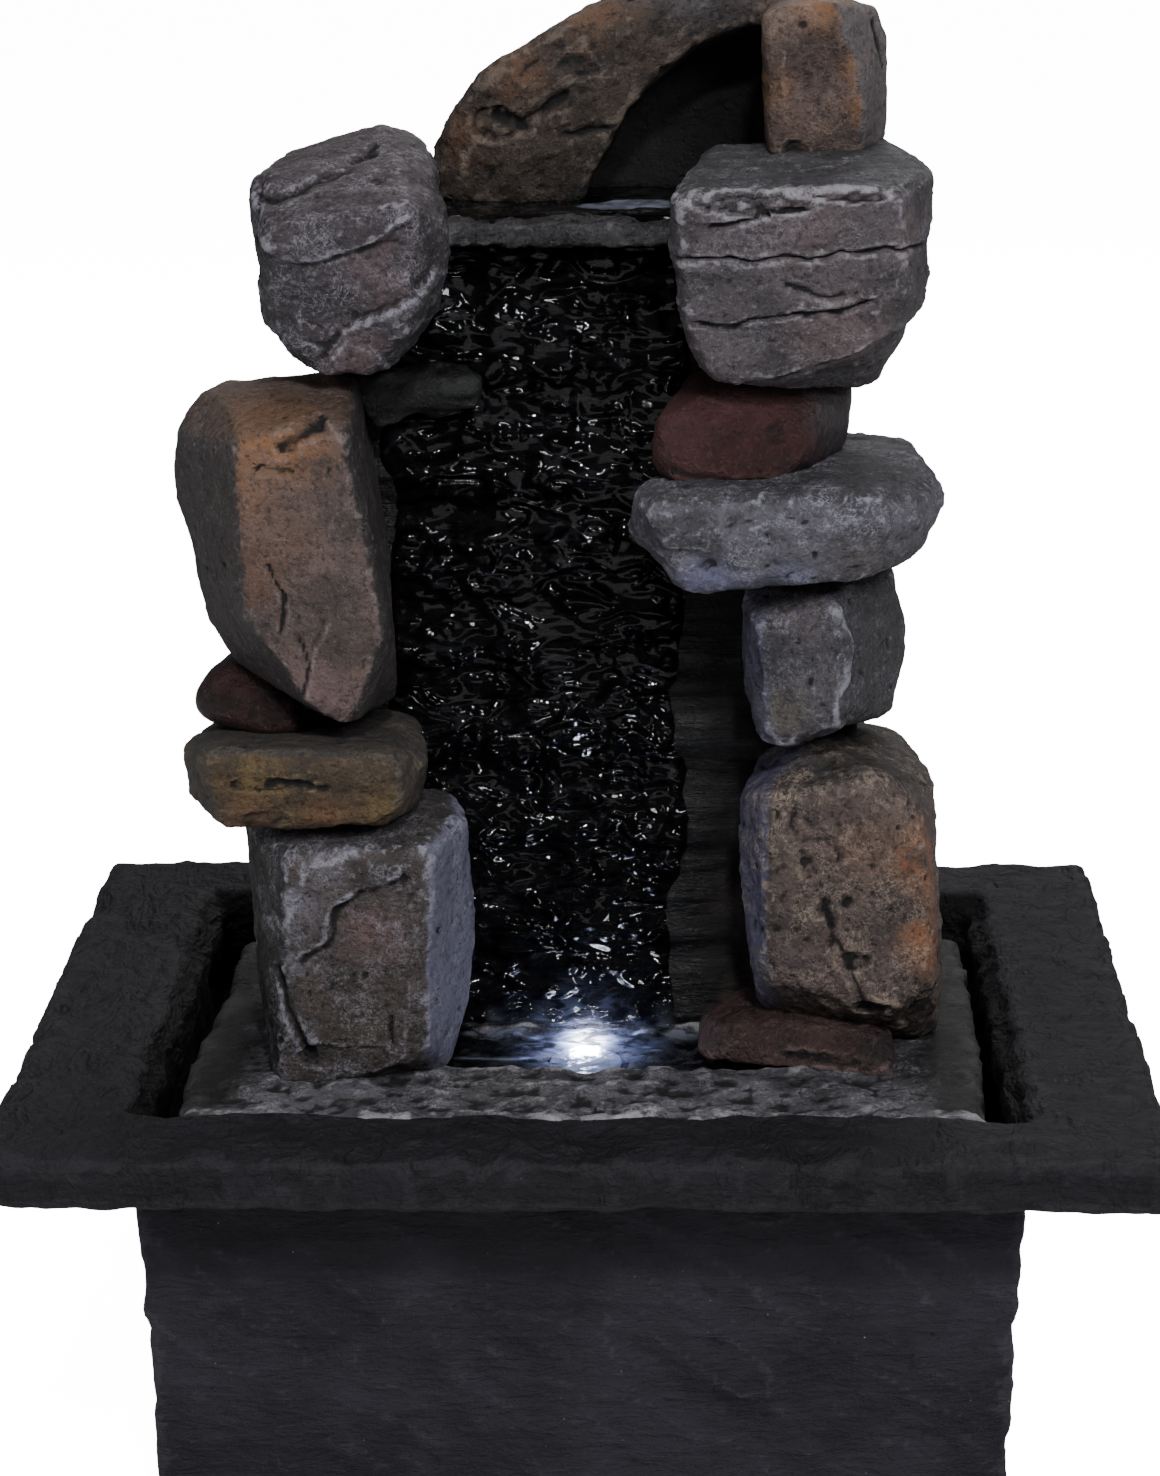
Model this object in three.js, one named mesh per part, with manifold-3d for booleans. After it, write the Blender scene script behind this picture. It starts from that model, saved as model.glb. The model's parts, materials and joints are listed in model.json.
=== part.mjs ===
// A tabletop water fountain: two stacks of painted boulders flank a dark fall wall and carry an arch stone.
// The rock tower stands in a slate-look basin, over a submersible pump that feeds it through a riser tube.
//
// Millimetres, +Z up. The origin is the middle of the footprint, on the surface that the feet stand on.
// -Y is the front, where the water falls. Everything on the tower is drawn in the tower's own frame,
// whose zero height is the top of the basin's rim.
import * as THREE from "three";
import { ConvexGeometry } from "three/addons/geometries/ConvexGeometry.js";
import { mergeVertices } from "three/addons/utils/BufferGeometryUtils.js";
import Module from "manifold-3d";

const wasm = await Module();
wasm.setup();

// ---- Driving dimensions -------------------------------------------------------------------------------

const GAP = 0.35; // between two pieces that touch

// Basin
const RIM = { width: 210, depth: 165, thick: 9, top: 85 };
const RIM_SIDE = 24; // width of the flat rim at each side
const RIM_FRONT = 23;
const RIM_BACK = 18.5;
const REBATE = 3; // the wall's top lies this far below the rim's top
const WALL = 2.8;
const FLOOR = 5;
const DRAFT = Math.tan(THREE.MathUtils.degToRad(2)); // the walls lean in towards the floor
const FOOT = { r: 8, high: 2, inset: 17 };
const POST = 16; // square corner posts that carry the tower's plinth

// Plinth, the slab that the tower stands on, in the tower's frame
const PLINTH = { top: -6, thick: 14 };
const POOL = { floor: -11, x0: -28, x1: 46, y0: -20, y1: 2, slope: 3 };

// Fall wall
const CORE = { front: 4, back: 43, top: 152, skin: 6 };
const LEDGES = [14, 33, 51, 68, 86, 103, 124]; // heights of the small ledges that break the falling water
const LIP = { front: -7, thick: 4.5 };

// Riser tube and the pump's nozzle that it pushes onto
const RISER = { x: 4, y: 23, r: 6.8, bore: 5.4, foot: 57 };
const NOZZLE = { r: 5, bore: 3.6, top: 68 };

// Lamp pod in the pool. The lens sits inside a thin lip, on a seal over the bore that holds the board.
const LAMP = { x: 0, y: -6.5, r: 8, flange: 11, lip: 7.3, bore: 6.2, gland: 2, floor: 2 };
const LENS = { r: LAMP.lip - GAP, edge: 1, dome: 3.2 };
const LED = { half: 2.5, high: 1.2, board: 1.2 };

// Pump. Its rotor lies along the depth axis: intake in front, then the impeller, then the magnet and the
// stator round it. Widths are measured from the rotor's axis.
const PUMP = { x: RISER.x, z: 38.5, half: 18, low: 12.5, high: 53, wall: 1.7 };
const ALONG = { cover: 13, chamber: 18, chamberEnd: 28, pocket: 31, wellEnd: 43, potting: 49.5, back: 53 };
const ROTOR = { chamber: 12.6, blade: 11, hub: 4, well: 8.4, magnet: 7.6, shaft: 1, bore: 1.4 };
const BUSH = { r: 3, length: 3 };
const WELL_SKIN = 1.2;
const INTAKE = { count: 6, r: 1.9, at: 7 };
const SOCKET = { x: PUMP.x - 11, y: 42, r: 4.2, bore: 2.7, high: 6 }; // for the lamp's plug
const MAINS = { x: PUMP.x + 10, z: PUMP.z + 8, r: 2.6 }; // the mains cable's inlet, in the back

// ---- Materials ----------------------------------------------------------------------------------------

const finish = (color, roughness, metalness = 0) =>
  new THREE.MeshStandardMaterial({ color, roughness, metalness });

const FINISH = {
  slate: finish(0x232227, 0.75),
  plinth: finish(0x4a484a, 0.85),
  wet: finish(0x0d0d0e, 0.2),
  grey: finish(0x4f4b50, 0.8),
  mauve: finish(0x56494b, 0.8),
  brown: finish(0x5f4a40, 0.8),
  ochre: finish(0x6a4f36, 0.8),
  red: finish(0x40201f, 0.45),
  rubber: finish(0x161616, 0.9),
  pump: finish(0x1d1f22, 0.5),
  dial: finish(0x2c4f73, 0.5),
  vinyl: finish(0xc9d2d4, 0.3),
  lens: finish(0xf2f6ff, 0.1),
  board: finish(0xe9ebe6, 0.6),
  chip: finish(0xf6e9a8, 0.4),
  ferrite: finish(0x2b2b2e, 0.4, 0.3),
  ceramic: finish(0xe8e4da, 0.3),
  iron: finish(0x6d6f72, 0.4, 0.9),
  copper: finish(0x8a4a26, 0.35, 0.8),
};

// ---- Solids -------------------------------------------------------------------------------------------

// A three.js geometry as a solid that can be cut and joined.
function solid(geometry) {
  const bare = geometry.index ? geometry.toNonIndexed() : geometry.clone();
  bare.deleteAttribute("normal");
  bare.deleteAttribute("uv");
  const merged = mergeVertices(bare, 1e-3);
  return new wasm.Manifold(
    new wasm.Mesh({
      numProp: 3,
      vertProperties: merged.attributes.position.array,
      triVerts: new Uint32Array(merged.index.array),
    }),
  );
}

// The largest connected piece of a solid, which drops slivers that a cut leaves.
function largest(shape) {
  return shape.decompose().sort((a, b) => b.volume() - a.volume())[0];
}

// A solid as a named mesh.
function piece(name, shape, material) {
  const cut = shape.getMesh();
  const geometry = new THREE.BufferGeometry();
  geometry.setAttribute("position", new THREE.BufferAttribute(cut.vertProperties, 3));
  geometry.setIndex(new THREE.BufferAttribute(cut.triVerts, 1));
  geometry.computeVertexNormals();
  const mesh = new THREE.Mesh(geometry, material);
  mesh.name = name;
  return mesh;
}

const hull = (points) => solid(new ConvexGeometry(points.map((p) => new THREE.Vector3(...p))));

// A box from its low and high corners.
function block([x0, y0, z0], [x1, y1, z1]) {
  const box = new THREE.BoxGeometry(x1 - x0, y1 - y0, z1 - z0);
  return solid(box.translate((x0 + x1) / 2, (y0 + y1) / 2, (z0 + z1) / 2));
}

// A body of revolution about a vertical axis. The profile runs upwards as [radius, height].
function turned(profile, { x = 0, y = 0, z = 0, sides = 24 } = {}) {
  const points = profile.map(([r, h]) => new THREE.Vector2(r, h));
  return solid(new THREE.LatheGeometry(points, sides).rotateX(Math.PI / 2).translate(x, y, z));
}

// The same about an axis along +Y, with the profile as [radius, y].
function turnedAlongY(profile, { x = 0, z = 0, sides = 24 } = {}) {
  const points = profile.map(([r, h]) => new THREE.Vector2(r, h));
  return solid(new THREE.LatheGeometry(points, sides).translate(x, 0, z));
}

// A straight round bar or hole, standing from z0 to z1 or lying from y0 to y1.
const post = (r, z0, z1, at = {}) => turned([[0, z0], [r, z0], [r, z1], [0, z1]], at);
const spindle = (r, y0, y1, at = {}) => turnedAlongY([[0, y0], [r, y0], [r, y1], [0, y1]], at);

// A ring with a square section, standing or lying.
const ringProfile = (r, bore, from, to) => [[bore, from], [r, from], [r, to], [bore, to], [bore, from]];
const ring = (r, bore, z0, z1, at = {}) => turned(ringProfile(r, bore, z0, z1), at);
const ringAlongY = (r, bore, y0, y1, at = {}) => turnedAlongY(ringProfile(r, bore, y0, y1), at);

// An outline in the front view, [x, z], given depth from y0 to y1.
function frontView(outline, y0, y1) {
  const shape = new THREE.Shape(outline.map(([x, z]) => new THREE.Vector2(x, z)));
  const slab = new THREE.ExtrudeGeometry(shape, { depth: y1 - y0, bevelEnabled: false });
  return solid(slab.rotateX(Math.PI / 2).translate(0, y1, 0));
}

// An outline in the side view, [y, z], given width from x0 to x1.
function sideView(outline, x0, x1) {
  const shape = new THREE.Shape(outline.map(([y, z]) => new THREE.Vector2(y, z)));
  const slab = new THREE.ExtrudeGeometry(shape, { depth: x1 - x0, bevelEnabled: false });
  return solid(slab.rotateX(Math.PI / 2).rotateZ(Math.PI / 2).translate(x0, 0, 0));
}

// An outline in plan, [x, y], given height from z0 to z1.
function planView(outline, z0, z1) {
  const shape = new THREE.Shape(outline.map(([x, y]) => new THREE.Vector2(x, y)));
  return solid(new THREE.ExtrudeGeometry(shape, { depth: z1 - z0, bevelEnabled: false }).translate(0, 0, z0));
}

// A boulder: the hull of its corners, with every corner and edge broken by a small ball.
// grow makes it larger all round, for cutting its neighbours back.
const EDGE = 3;
const BALL = new THREE.IcosahedronGeometry(1, 0).getAttribute("position");
function boulder(corners, grow = 0) {
  const points = corners.map((p) => new THREE.Vector3(...p));
  const middle = points.reduce((sum, p) => sum.add(p), new THREE.Vector3()).divideScalar(points.length);
  const cloud = [];
  for (const p of points) {
    const core = p.clone().sub(middle);
    core.setLength(Math.max(core.length() - EDGE, 0)).add(middle);
    for (let i = 0; i < BALL.count; i++)
      cloud.push(new THREE.Vector3().fromBufferAttribute(BALL, i).multiplyScalar(EDGE + grow).add(core));
  }
  return solid(new ConvexGeometry(cloud));
}

// ---- Basin --------------------------------------------------------------------------------------------

const INNER_X = RIM.width / 2 - RIM_SIDE; // the rim's opening, which is also the wall's outer face
const INNER_FRONT = -RIM.depth / 2 + RIM_FRONT;
const INNER_BACK = RIM.depth / 2 - RIM_BACK;
const WALL_TOP = RIM.top - REBATE;
const BASIN_FLOOR = FOOT.high + FLOOR;

// The eight corners of the wall's outer face, or of its inner face when set in by the wall's thickness.
function wallBox(z0, z1, inset) {
  const corners = [];
  for (const z of [z0, z1]) {
    const lean = (WALL_TOP - z) * DRAFT + inset;
    for (const x of [-INNER_X + lean, INNER_X - lean])
      for (const y of [INNER_FRONT + lean, INNER_BACK - lean]) corners.push([x, y, z]);
  }
  return hull(corners);
}

const GROMMET = { x: 48, z: 68, r: 5, flange: 7.5, cable: 3.4 };

function basin() {
  const rim = block(
    [-RIM.width / 2, -RIM.depth / 2, RIM.top - RIM.thick],
    [RIM.width / 2, RIM.depth / 2, RIM.top],
  ).subtract(block([-INNER_X, INNER_FRONT, 0], [INNER_X, INNER_BACK, RIM.top + 1]));
  const root = wallBox(RIM.top - RIM.thick, WALL_TOP, -1); // the wall meets the rim over its thickness
  let shell = rim.add(root).add(wallBox(FOOT.high, WALL_TOP, 0));
  shell = shell.subtract(wallBox(BASIN_FLOOR, WALL_TOP + 1, WALL));
  const postTop = RIM.top + PLINTH.top - PLINTH.thick - GAP;
  for (const [sx, y0, y1] of [
    [-1, INNER_FRONT + 1, INNER_FRONT + WALL + POST],
    [1, INNER_FRONT + 1, INNER_FRONT + WALL + POST],
    [-1, INNER_BACK - WALL - POST, INNER_BACK - 1],
    [1, INNER_BACK - WALL - POST, INNER_BACK - 1],
  ]) {
    const xs = [sx * (INNER_X - WALL - POST), sx * (INNER_X - 1)].sort((a, b) => a - b);
    const column = block([xs[0], y0, FOOT.high + 1], [xs[1], y1, postTop]);
    shell = shell.add(column.intersect(wallBox(FOOT.high, WALL_TOP, 1)));
  }
  return shell.subtract(spindle(GROMMET.r + GAP, 50, 70, { x: GROMMET.x, z: GROMMET.z }));
}

// A rubber grommet that lines the cable's way out through the back wall.
function cableGrommet() {
  const lean = (WALL_TOP - GROMMET.z) * DRAFT;
  const outside = INNER_BACK - lean + 0.6;
  const inside = INNER_BACK - lean - WALL - 0.6;
  const profile = [
    [GROMMET.cable, inside - 2],
    [GROMMET.flange, inside - 2],
    [GROMMET.flange, inside],
    [GROMMET.r, inside],
    [GROMMET.r, outside],
    [GROMMET.flange, outside],
    [GROMMET.flange, outside + 2],
    [GROMMET.cable, outside + 2],
    [GROMMET.cable, inside - 2],
  ];
  return turnedAlongY(profile, { x: GROMMET.x, z: GROMMET.z, sides: 20 });
}

// ---- Tower: plinth and fall wall -----------------------------------------------------------------------

const PLINTH_OUTLINE = [
  [-73, -52], [-20, -53], [30, -52], [74, -53], [75, -20], [75.6, 20], [75.6, 54], [20, 54], [-40, 51],
  [-72, 45], [-72, 20], [-74, -10], [-74.5, -30],
];
const CHASE = { x0: -38, x1: 40, y0: 12, y1: 34 }; // the hollow behind the fall wall, open below

function plinth() {
  let slab = planView(PLINTH_OUTLINE, PLINTH.top - PLINTH.thick, PLINTH.top);
  const pool = hull([
    [POOL.x0, POOL.y0, POOL.floor], [POOL.x1, POOL.y0, POOL.floor],
    [POOL.x0, POOL.y1, POOL.floor], [POOL.x1, POOL.y1, POOL.floor],
    [POOL.x0 - POOL.slope, POOL.y0 - POOL.slope, 0], [POOL.x1 + POOL.slope, POOL.y0 - POOL.slope, 0],
    [POOL.x0 - POOL.slope, POOL.y1, 0], [POOL.x1 + POOL.slope, POOL.y1, 0],
  ]);
  slab = slab.subtract(pool);
  slab = slab.subtract(block([CHASE.x0, CHASE.y0, -30], [CHASE.x1, CHASE.y1, 0]));
  return slab.subtract(post(LAMP.r + GAP, -30, 0, LAMP));
}

// The outline of the fall wall from the front. It shows dark in the necks between the boulders.
const CORE_OUTLINE = [
  [-54, 0], [54, 0], [52, 58], [48, 62], [51, 90], [46, 112], [46, 124], [50, 150], [50, 200],
  [-46, 200], [-45, 130], [-48, 124], [-52, 100], [-48, 70], [-52, 58],
];

// From above, its back is broken by shallow facets.
const CORE_PLAN = [[-70, -20], [70, -20], [70, 24], [44, 39], [8, 43], [-30, 41], [-70, 22]];

// The fall wall from the side: small ledges up the front, then the spill shelf.
function fallProfile(grow) {
  const front = CORE.front - grow;
  const profile = [[CORE.back + grow, CORE.top + grow], [CORE.back + grow, PLINTH.top + GAP - grow]];
  profile.push([front - 2, PLINTH.top + GAP - grow], [front - 2, -3 + grow]);
  for (const z of LEDGES) profile.push([front, z - 5], [front - 2, z], [front - 1.5, z + 1]);
  profile.push([front + 1, CORE.top - 9], [LIP.front + 5 - grow, CORE.top - LIP.thick - grow]);
  profile.push([LIP.front + 5 - grow, CORE.top + grow]);
  return profile.reverse();
}

function fallWall(grow = 0) {
  const wall = sideView(fallProfile(grow), -70, 70);
  const outline = CORE_OUTLINE.map(([x, z]) => [x + Math.sign(x) * grow, z === 0 ? -20 : z]);
  return wall.intersect(frontView(outline, -60, 60)).intersect(planView(CORE_PLAN, -40, 220));
}

function hollowFallWall() {
  const chase = block([CHASE.x0, CHASE.y0, -30], [CHASE.x1, CHASE.y1, CORE.top - CORE.skin]);
  return fallWall().subtract(chase).subtract(post(RISER.r + GAP, 100, 200, RISER));
}

// ---- Tower: boulders ------------------------------------------------------------------------------------

// Corners as [x, y, z]. Each boulder is cut back from the plinth, the fall wall and those before it.
const FLAT = PLINTH.top; // boulders that stand on the plinth reach down to here and are cut by it
const BOULDERS = [
  {
    name: "block_lower_left",
    material: FINISH.grey,
    corners: [
      [-53, -35, 40], [-28, -35, 41], [-29, -33, 1], [-50, -33, 2],
      [-60, -24, 42], [-23, -24, 44], [-21, -20, 22], [-23, -18, 6], [-27, -22, FLAT], [-56, -31, FLAT],
      [-60, -20, 6], [-65, 12, 42], [-62, 26, 38], [-60, 26, FLAT], [-30, 28, 36], [-30, 28, FLAT],
    ],
  },
  {
    name: "block_lower_right",
    material: FINISH.brown,
    corners: [
      [34, -26, 49], [53, -27, 53], [62, -24, 44], [64, -24, 11], [57, -26, 8], [34, -26, 15],
      [31, -18, 46], [31, -20, 31], [42, -10, 55], [64, -6, 48], [67, -8, 10],
      [60, 24, 46], [65, 24, 20], [66, 24, FLAT], [40, 28, 50], [36, 28, FLAT], [66, -4, FLAT], [36, -2, FLAT],
    ],
  },
  {
    name: "flat_stone_lower_right",
    material: FINISH.red,
    corners: [
      [22, -10, -2], [28, -4, 1], [41, -4, 2], [56, -10, 1], [57, -22, -2], [41, -23, 0], [26, -18, -1],
      [22, -16, FLAT], [58, -26, FLAT], [58, 0, FLAT], [24, 0, FLAT],
    ],
  },
  {
    name: "slab_lower_left",
    material: FINISH.ochre,
    corners: [
      [-67, -38, 59], [-33, -38, 58], [-34, -36, 49], [-65, -36, 48], [-73, -24, 56], [-29, -24, 55],
      [-31, -22, 47], [-72, -24, 49], [-70, 8, 54], [-66, 27, 52], [-36, 29, 51], [-68, 26, 45],
      [-69, 6, 48], [-32, 0, 55], [-36, 28, 44],
    ],
  },
  {
    name: "block_middle_right",
    material: FINISH.grey,
    corners: [
      [33, -24, 82], [45, -26, 85], [47, -26, 65], [35, -24, 60], [31, -14, 84], [31, -16, 67],
      [56, -10, 88], [60, -6, 73], [57, -8, 60], [54, 24, 88], [59, 20, 72], [55, 24, 56], [36, 26, 86],
      [36, 26, 56], [38, -12, 58],
    ],
  },
  {
    name: "slab_middle_right",
    material: FINISH.grey,
    corners: [
      [13, -37, 105], [53, -38, 106], [61, -30, 104], [60, -28, 96], [52, -34, 94], [18, -35, 92],
      [9, -26, 100], [11, -22, 105], [34, -8, 108], [63, -12, 107], [66, -14, 102], [63, -12, 97],
      [61, 14, 105], [62, 10, 98], [50, 26, 104], [30, 26, 102], [48, 26, 90], [22, -6, 91],
    ],
  },
  {
    name: "red_stone_right",
    material: FINISH.red,
    corners: [
      [14, -22, 117], [22, -18, 122], [44, -14, 122], [49, -6, 121], [48, -4, 110], [39, -26, 112],
      [34, -27, 108], [18, -26, 107], [13, -22, 111], [49, 10, 122], [47, 12, 110], [20, 4, 121],
      [20, 2, 108],
    ],
  },
  {
    name: "tall_block_left",
    material: FINISH.brown,
    corners: [
      [-59, -36, 118], [-42, -36, 120], [-35, -34, 81], [-42, -32, 65], [-47, -33, 68], [-59, -34, 85],
      [-71, -22, 117], [-67, -18, 123], [-43, -13, 125], [-73, -18, 107], [-68, -16, 80], [-62, -16, 71],
      [-36, -15, 64], [-69, 14, 117], [-60, 27, 115], [-44, 29, 116], [-66, 25, 84], [-56, 25, 66],
      [-40, 27, 64],
    ],
  },
  {
    name: "pebble_left",
    material: FINISH.red,
    corners: [
      [-71, -20, 65], [-68, -17, 70], [-60, -14, 71], [-58, -24, 62], [-70, -12, 61], [-56, 4, 61],
      [-62, 2, 70], [-52, -22, 61],
    ],
  },
  {
    name: "block_upper_left",
    material: FINISH.mauve,
    corners: [
      [-54, -32, 153], [-28, -34, 157], [-24, -26, 152], [-25, -26, 143], [-31, -30, 136], [-37, -26, 128],
      [-46, -26, 128], [-53, -27, 135], [-58, -14, 161], [-55, -2, 162], [-36, 6, 167], [-29, 4, 163],
      [-25, -8, 156], [-56, -22, 138], [-53, 23, 160], [-34, 25, 163], [-51, 23, 132], [-34, 25, 126],
    ],
  },
  {
    name: "block_upper_right",
    material: FINISH.mauve,
    corners: [
      [18, -32, 160], [56, -33, 160], [58, -27, 140], [50, -28, 131], [33, -27, 126], [24, -26, 127],
      [19, -28, 136], [17, -29, 154], [62, -18, 162], [62, -10, 140], [52, -12, 123], [56, 14, 163],
      [62, 10, 160], [24, 14, 162], [59, 20, 140], [50, 22, 124], [24, 10, 128],
    ],
  },
  {
    name: "block_top_right",
    material: FINISH.ochre,
    corners: [
      [35, 0, 162], [50, 1, 162], [33, 2, 174], [34, -2, 188], [45, -3, 190], [49, -2, 182], [51, -1, 171],
      [53, 8, 189], [56, 10, 183], [54, 12, 162], [52, 22, 162], [50, 22, 188], [36, 16, 190],
      [36, 18, 162],
    ],
  },
];

// The arch stone leans over the spill shelf. Its hollow is the dark mouth that the water wells up in.
const ARCH = [
  [-28, 18, 152], [-28, 16, 160], [-24, 12, 169], [-19, 9, 175], [-10, 8, 181], [4, 10, 188],
  [14, 12, 195], [34, 12, 194], [46, 14, 189], [48, 16, 152], [-14, 16, 152],
  [-24, 38, 152], [-20, 40, 166], [0, 42, 180], [30, 42, 188], [46, 40, 183], [47, 38, 152],
];
const MOUTH = [
  [-1, 0, 150], [8, 0, 172], [20, 0, 184], [35, 0, 190], [60, 0, 184], [60, 0, 150],
  [-2, 31, 150], [8, 31, 168], [18, 31, 176], [30, 30, 180], [34, 31, 150],
];

function spillLip() {
  return hull([
    [-24, LIP.front, CORE.top - 4], [17, LIP.front, CORE.top - 4], [-24, LIP.front, CORE.top - 0.5],
    [17, LIP.front, CORE.top - 1], [-24, LIP.front + 5 - GAP, CORE.top], [17, LIP.front + 5 - GAP, CORE.top],
    [-22, LIP.front + 5 - GAP, CORE.top - LIP.thick], [16, LIP.front + 5 - GAP, CORE.top - LIP.thick],
  ]);
}

function fallLedgeStone() {
  return boulder([
    [-42, -6, 121], [-19, -5, 122], [-19, -4, 119], [-40, -6, 117], [-40, 10, 121], [-19, 10, 122],
    [-19, 10, 118], [-40, 10, 117],
  ]);
}

// ---- Pump -----------------------------------------------------------------------------------------------

const AXIS = { x: PUMP.x, z: PUMP.z };
const pumpBlock = (inset, y0, y1) =>
  block(
    [PUMP.x - PUMP.half + inset, y0, PUMP.low + inset],
    [PUMP.x + PUMP.half - inset, y1, PUMP.high - inset],
  );
const CUP = { stem: 2, hole: 2.4, depth: 3.5 };
const CUP_PLACES = [-1, 1].flatMap((side) =>
  [ALONG.chamber + 6, ALONG.back - 8].map((y) => ({ x: PUMP.x + side * 13.5, y })),
);

// The housing is open in front for the impeller and at the back for the stator. The well between them
// keeps the water off the stator.
function pumpHousing() {
  const wellTube = spindle(ROTOR.well + WELL_SKIN, ALONG.chamberEnd, ALONG.wellEnd + BUSH.length + 1.5, AXIS);
  let body = pumpBlock(0, ALONG.chamber, ALONG.back);
  body = body.subtract(pumpBlock(PUMP.wall, ALONG.pocket, ALONG.back + 1)).add(wellTube);
  for (const at of CUP_PLACES) {
    const boss = post(CUP.hole + 1.4, PUMP.low, PUMP.low + CUP.depth + 2, { ...at, sides: 12 });
    body = body.add(boss).subtract(post(CUP.hole, PUMP.low - 1, PUMP.low + CUP.depth + 0.6, { ...at, sides: 12 }));
  }
  body = body.add(post(NOZZLE.r, PUMP.high - 1, NOZZLE.top, { ...RISER, sides: 20 }));
  body = body.add(post(SOCKET.r, PUMP.high - 1, PUMP.high + SOCKET.high, { ...SOCKET, sides: 20 }));
  body = body.subtract(post(NOZZLE.bore, PUMP.z, NOZZLE.top + 1, { ...RISER, sides: 20 }));
  body = body.subtract(post(SOCKET.bore, PUMP.high + 2, PUMP.high + SOCKET.high + 1, { ...SOCKET, sides: 16 }));
  body = body.subtract(spindle(ROTOR.chamber, ALONG.chamber - 1, ALONG.chamberEnd, AXIS));
  body = body.subtract(spindle(ROTOR.well, ALONG.chamberEnd - 1, ALONG.wellEnd, AXIS));
  const bushSeat = { ...AXIS, sides: 16 };
  return body.subtract(spindle(BUSH.r + GAP, ALONG.wellEnd - 1, ALONG.wellEnd + BUSH.length + GAP, bushSeat));
}

function suctionCup(at) {
  const z = BASIN_FLOOR + GAP;
  const profile = [
    [0, z + 1.6], [3.5, z + 1], [6, z], [6.4, z], [5, z + 1.8], [2.6, z + 3], [2.6, PUMP.low - GAP],
    [CUP.stem, PUMP.low - GAP], [CUP.stem, PUMP.low + CUP.depth], [0, PUMP.low + CUP.depth],
  ];
  return turned(profile, { ...at, sides: 16 });
}

// A ring of round holes for the intake, through a plate that lies from y0 to y1.
function cutIntake(plate, y0, y1) {
  for (let i = 0; i < INTAKE.count; i++) {
    const angle = (i / INTAKE.count) * 2 * Math.PI;
    const x = PUMP.x + INTAKE.at * Math.cos(angle);
    const z = PUMP.z + INTAKE.at * Math.sin(angle);
    plate = plate.subtract(spindle(INTAKE.r, y0 - 1, y1 + 1, { x, z, sides: 12 }));
  }
  return plate;
}

const DIAL = { r: 10.5, thick: 3, stem: 0.85, stemHole: 1.2, grip: 3 };

// The cover over the impeller, with a seat for the front bush behind and the dial's stem hole in front.
function pumpCover() {
  const back = ALONG.chamber - GAP;
  const seat = back - BUSH.length;
  let cover = cutIntake(pumpBlock(0, ALONG.cover, back), ALONG.cover, back);
  cover = cover.subtract(spindle(BUSH.r + GAP, seat, back + 1, { ...AXIS, sides: 16 }));
  return cover.subtract(spindle(DIAL.stemHole, ALONG.cover - 1, seat + 1, { ...AXIS, sides: 12 }));
}

// The flow dial turns in front of the cover and slides its own holes over the intake's.
function flowDial() {
  const back = ALONG.cover - GAP;
  const front = back - DIAL.thick;
  const grip = block([PUMP.x - 1.2, front - DIAL.grip, PUMP.z - 9], [PUMP.x + 1.2, front + 0.5, PUMP.z + 4]);
  const stem = spindle(DIAL.stem, back - 1, ALONG.cover + 1.2, { ...AXIS, sides: 12 });
  return cutIntake(spindle(DIAL.r, front, back, { ...AXIS, sides: 32 }), front, back).add(grip).add(stem);
}

const BLADES = 6;
function impeller() {
  const y0 = ALONG.chamber + 1;
  const y1 = ALONG.chamberEnd - 1;
  const reach = ROTOR.blade - ROTOR.hub + 1;
  let wheel = spindle(ROTOR.hub, y0, y1, AXIS);
  for (let i = 0; i < BLADES; i++) {
    const blade = new THREE.BoxGeometry(reach, y1 - y0 - 1, 1.4).translate(ROTOR.blade - reach / 2, 0, 0);
    blade.rotateY((i / BLADES) * 2 * Math.PI);
    blade.translate(PUMP.x, (y0 + y1) / 2, PUMP.z);
    wheel = wheel.add(solid(blade));
  }
  return wheel.subtract(spindle(ROTOR.bore, y0 - 1, y1 + 1, { ...AXIS, sides: 16 }));
}

const rotorMagnet = () =>
  ringAlongY(ROTOR.magnet, ROTOR.bore, ALONG.chamberEnd - 1 + GAP, ALONG.wellEnd - 1, AXIS);
const rotorShaft = () =>
  spindle(ROTOR.shaft, ALONG.chamber - BUSH.length, ALONG.wellEnd + BUSH.length - 0.5, { ...AXIS, sides: 12 });
const bush = (y0) => ringAlongY(BUSH.r, ROTOR.shaft + GAP, y0, y0 + BUSH.length, { ...AXIS, sides: 16 });

// The stator: a U of iron laminations whose legs clasp the well, with the coil round its lower limb.
const STATOR = { half: 15.5, y0: 35, y1: 45, leg: 6.5, limb: [18.5, 23.5], high: 47 };
const COIL = { half: 8.5, thick: 3 };

function statorCore() {
  const { half, leg, limb, high, y0, y1 } = STATOR;
  const u = block([PUMP.x - half, y0, limb[0]], [PUMP.x + half, y1, high]);
  const slot = block([PUMP.x - half + leg, y0 - 1, limb[1]], [PUMP.x + half - leg, y1 + 1, high + 1]);
  return u.subtract(slot).subtract(spindle(ROTOR.well + WELL_SKIN + GAP, y0 - 1, y1 + 1, AXIS));
}

function coil() {
  const { limb, y0, y1 } = STATOR;
  const winding = (t, half) =>
    block([PUMP.x - half, y0 - t, limb[0] - t], [PUMP.x + half, y1 + t, limb[1] + t]);
  return winding(COIL.thick, COIL.half).subtract(winding(GAP, COIL.half + 1));
}

// The resin that closes the back, with the mains cable's inlet.
function potting() {
  const inlet = spindle(MAINS.r, ALONG.potting - 1, ALONG.back + 1, { ...MAINS, sides: 16 });
  return pumpBlock(PUMP.wall + GAP, ALONG.potting, ALONG.back - 0.4).subtract(inlet);
}

// ---- Lamp -----------------------------------------------------------------------------------------------

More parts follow.
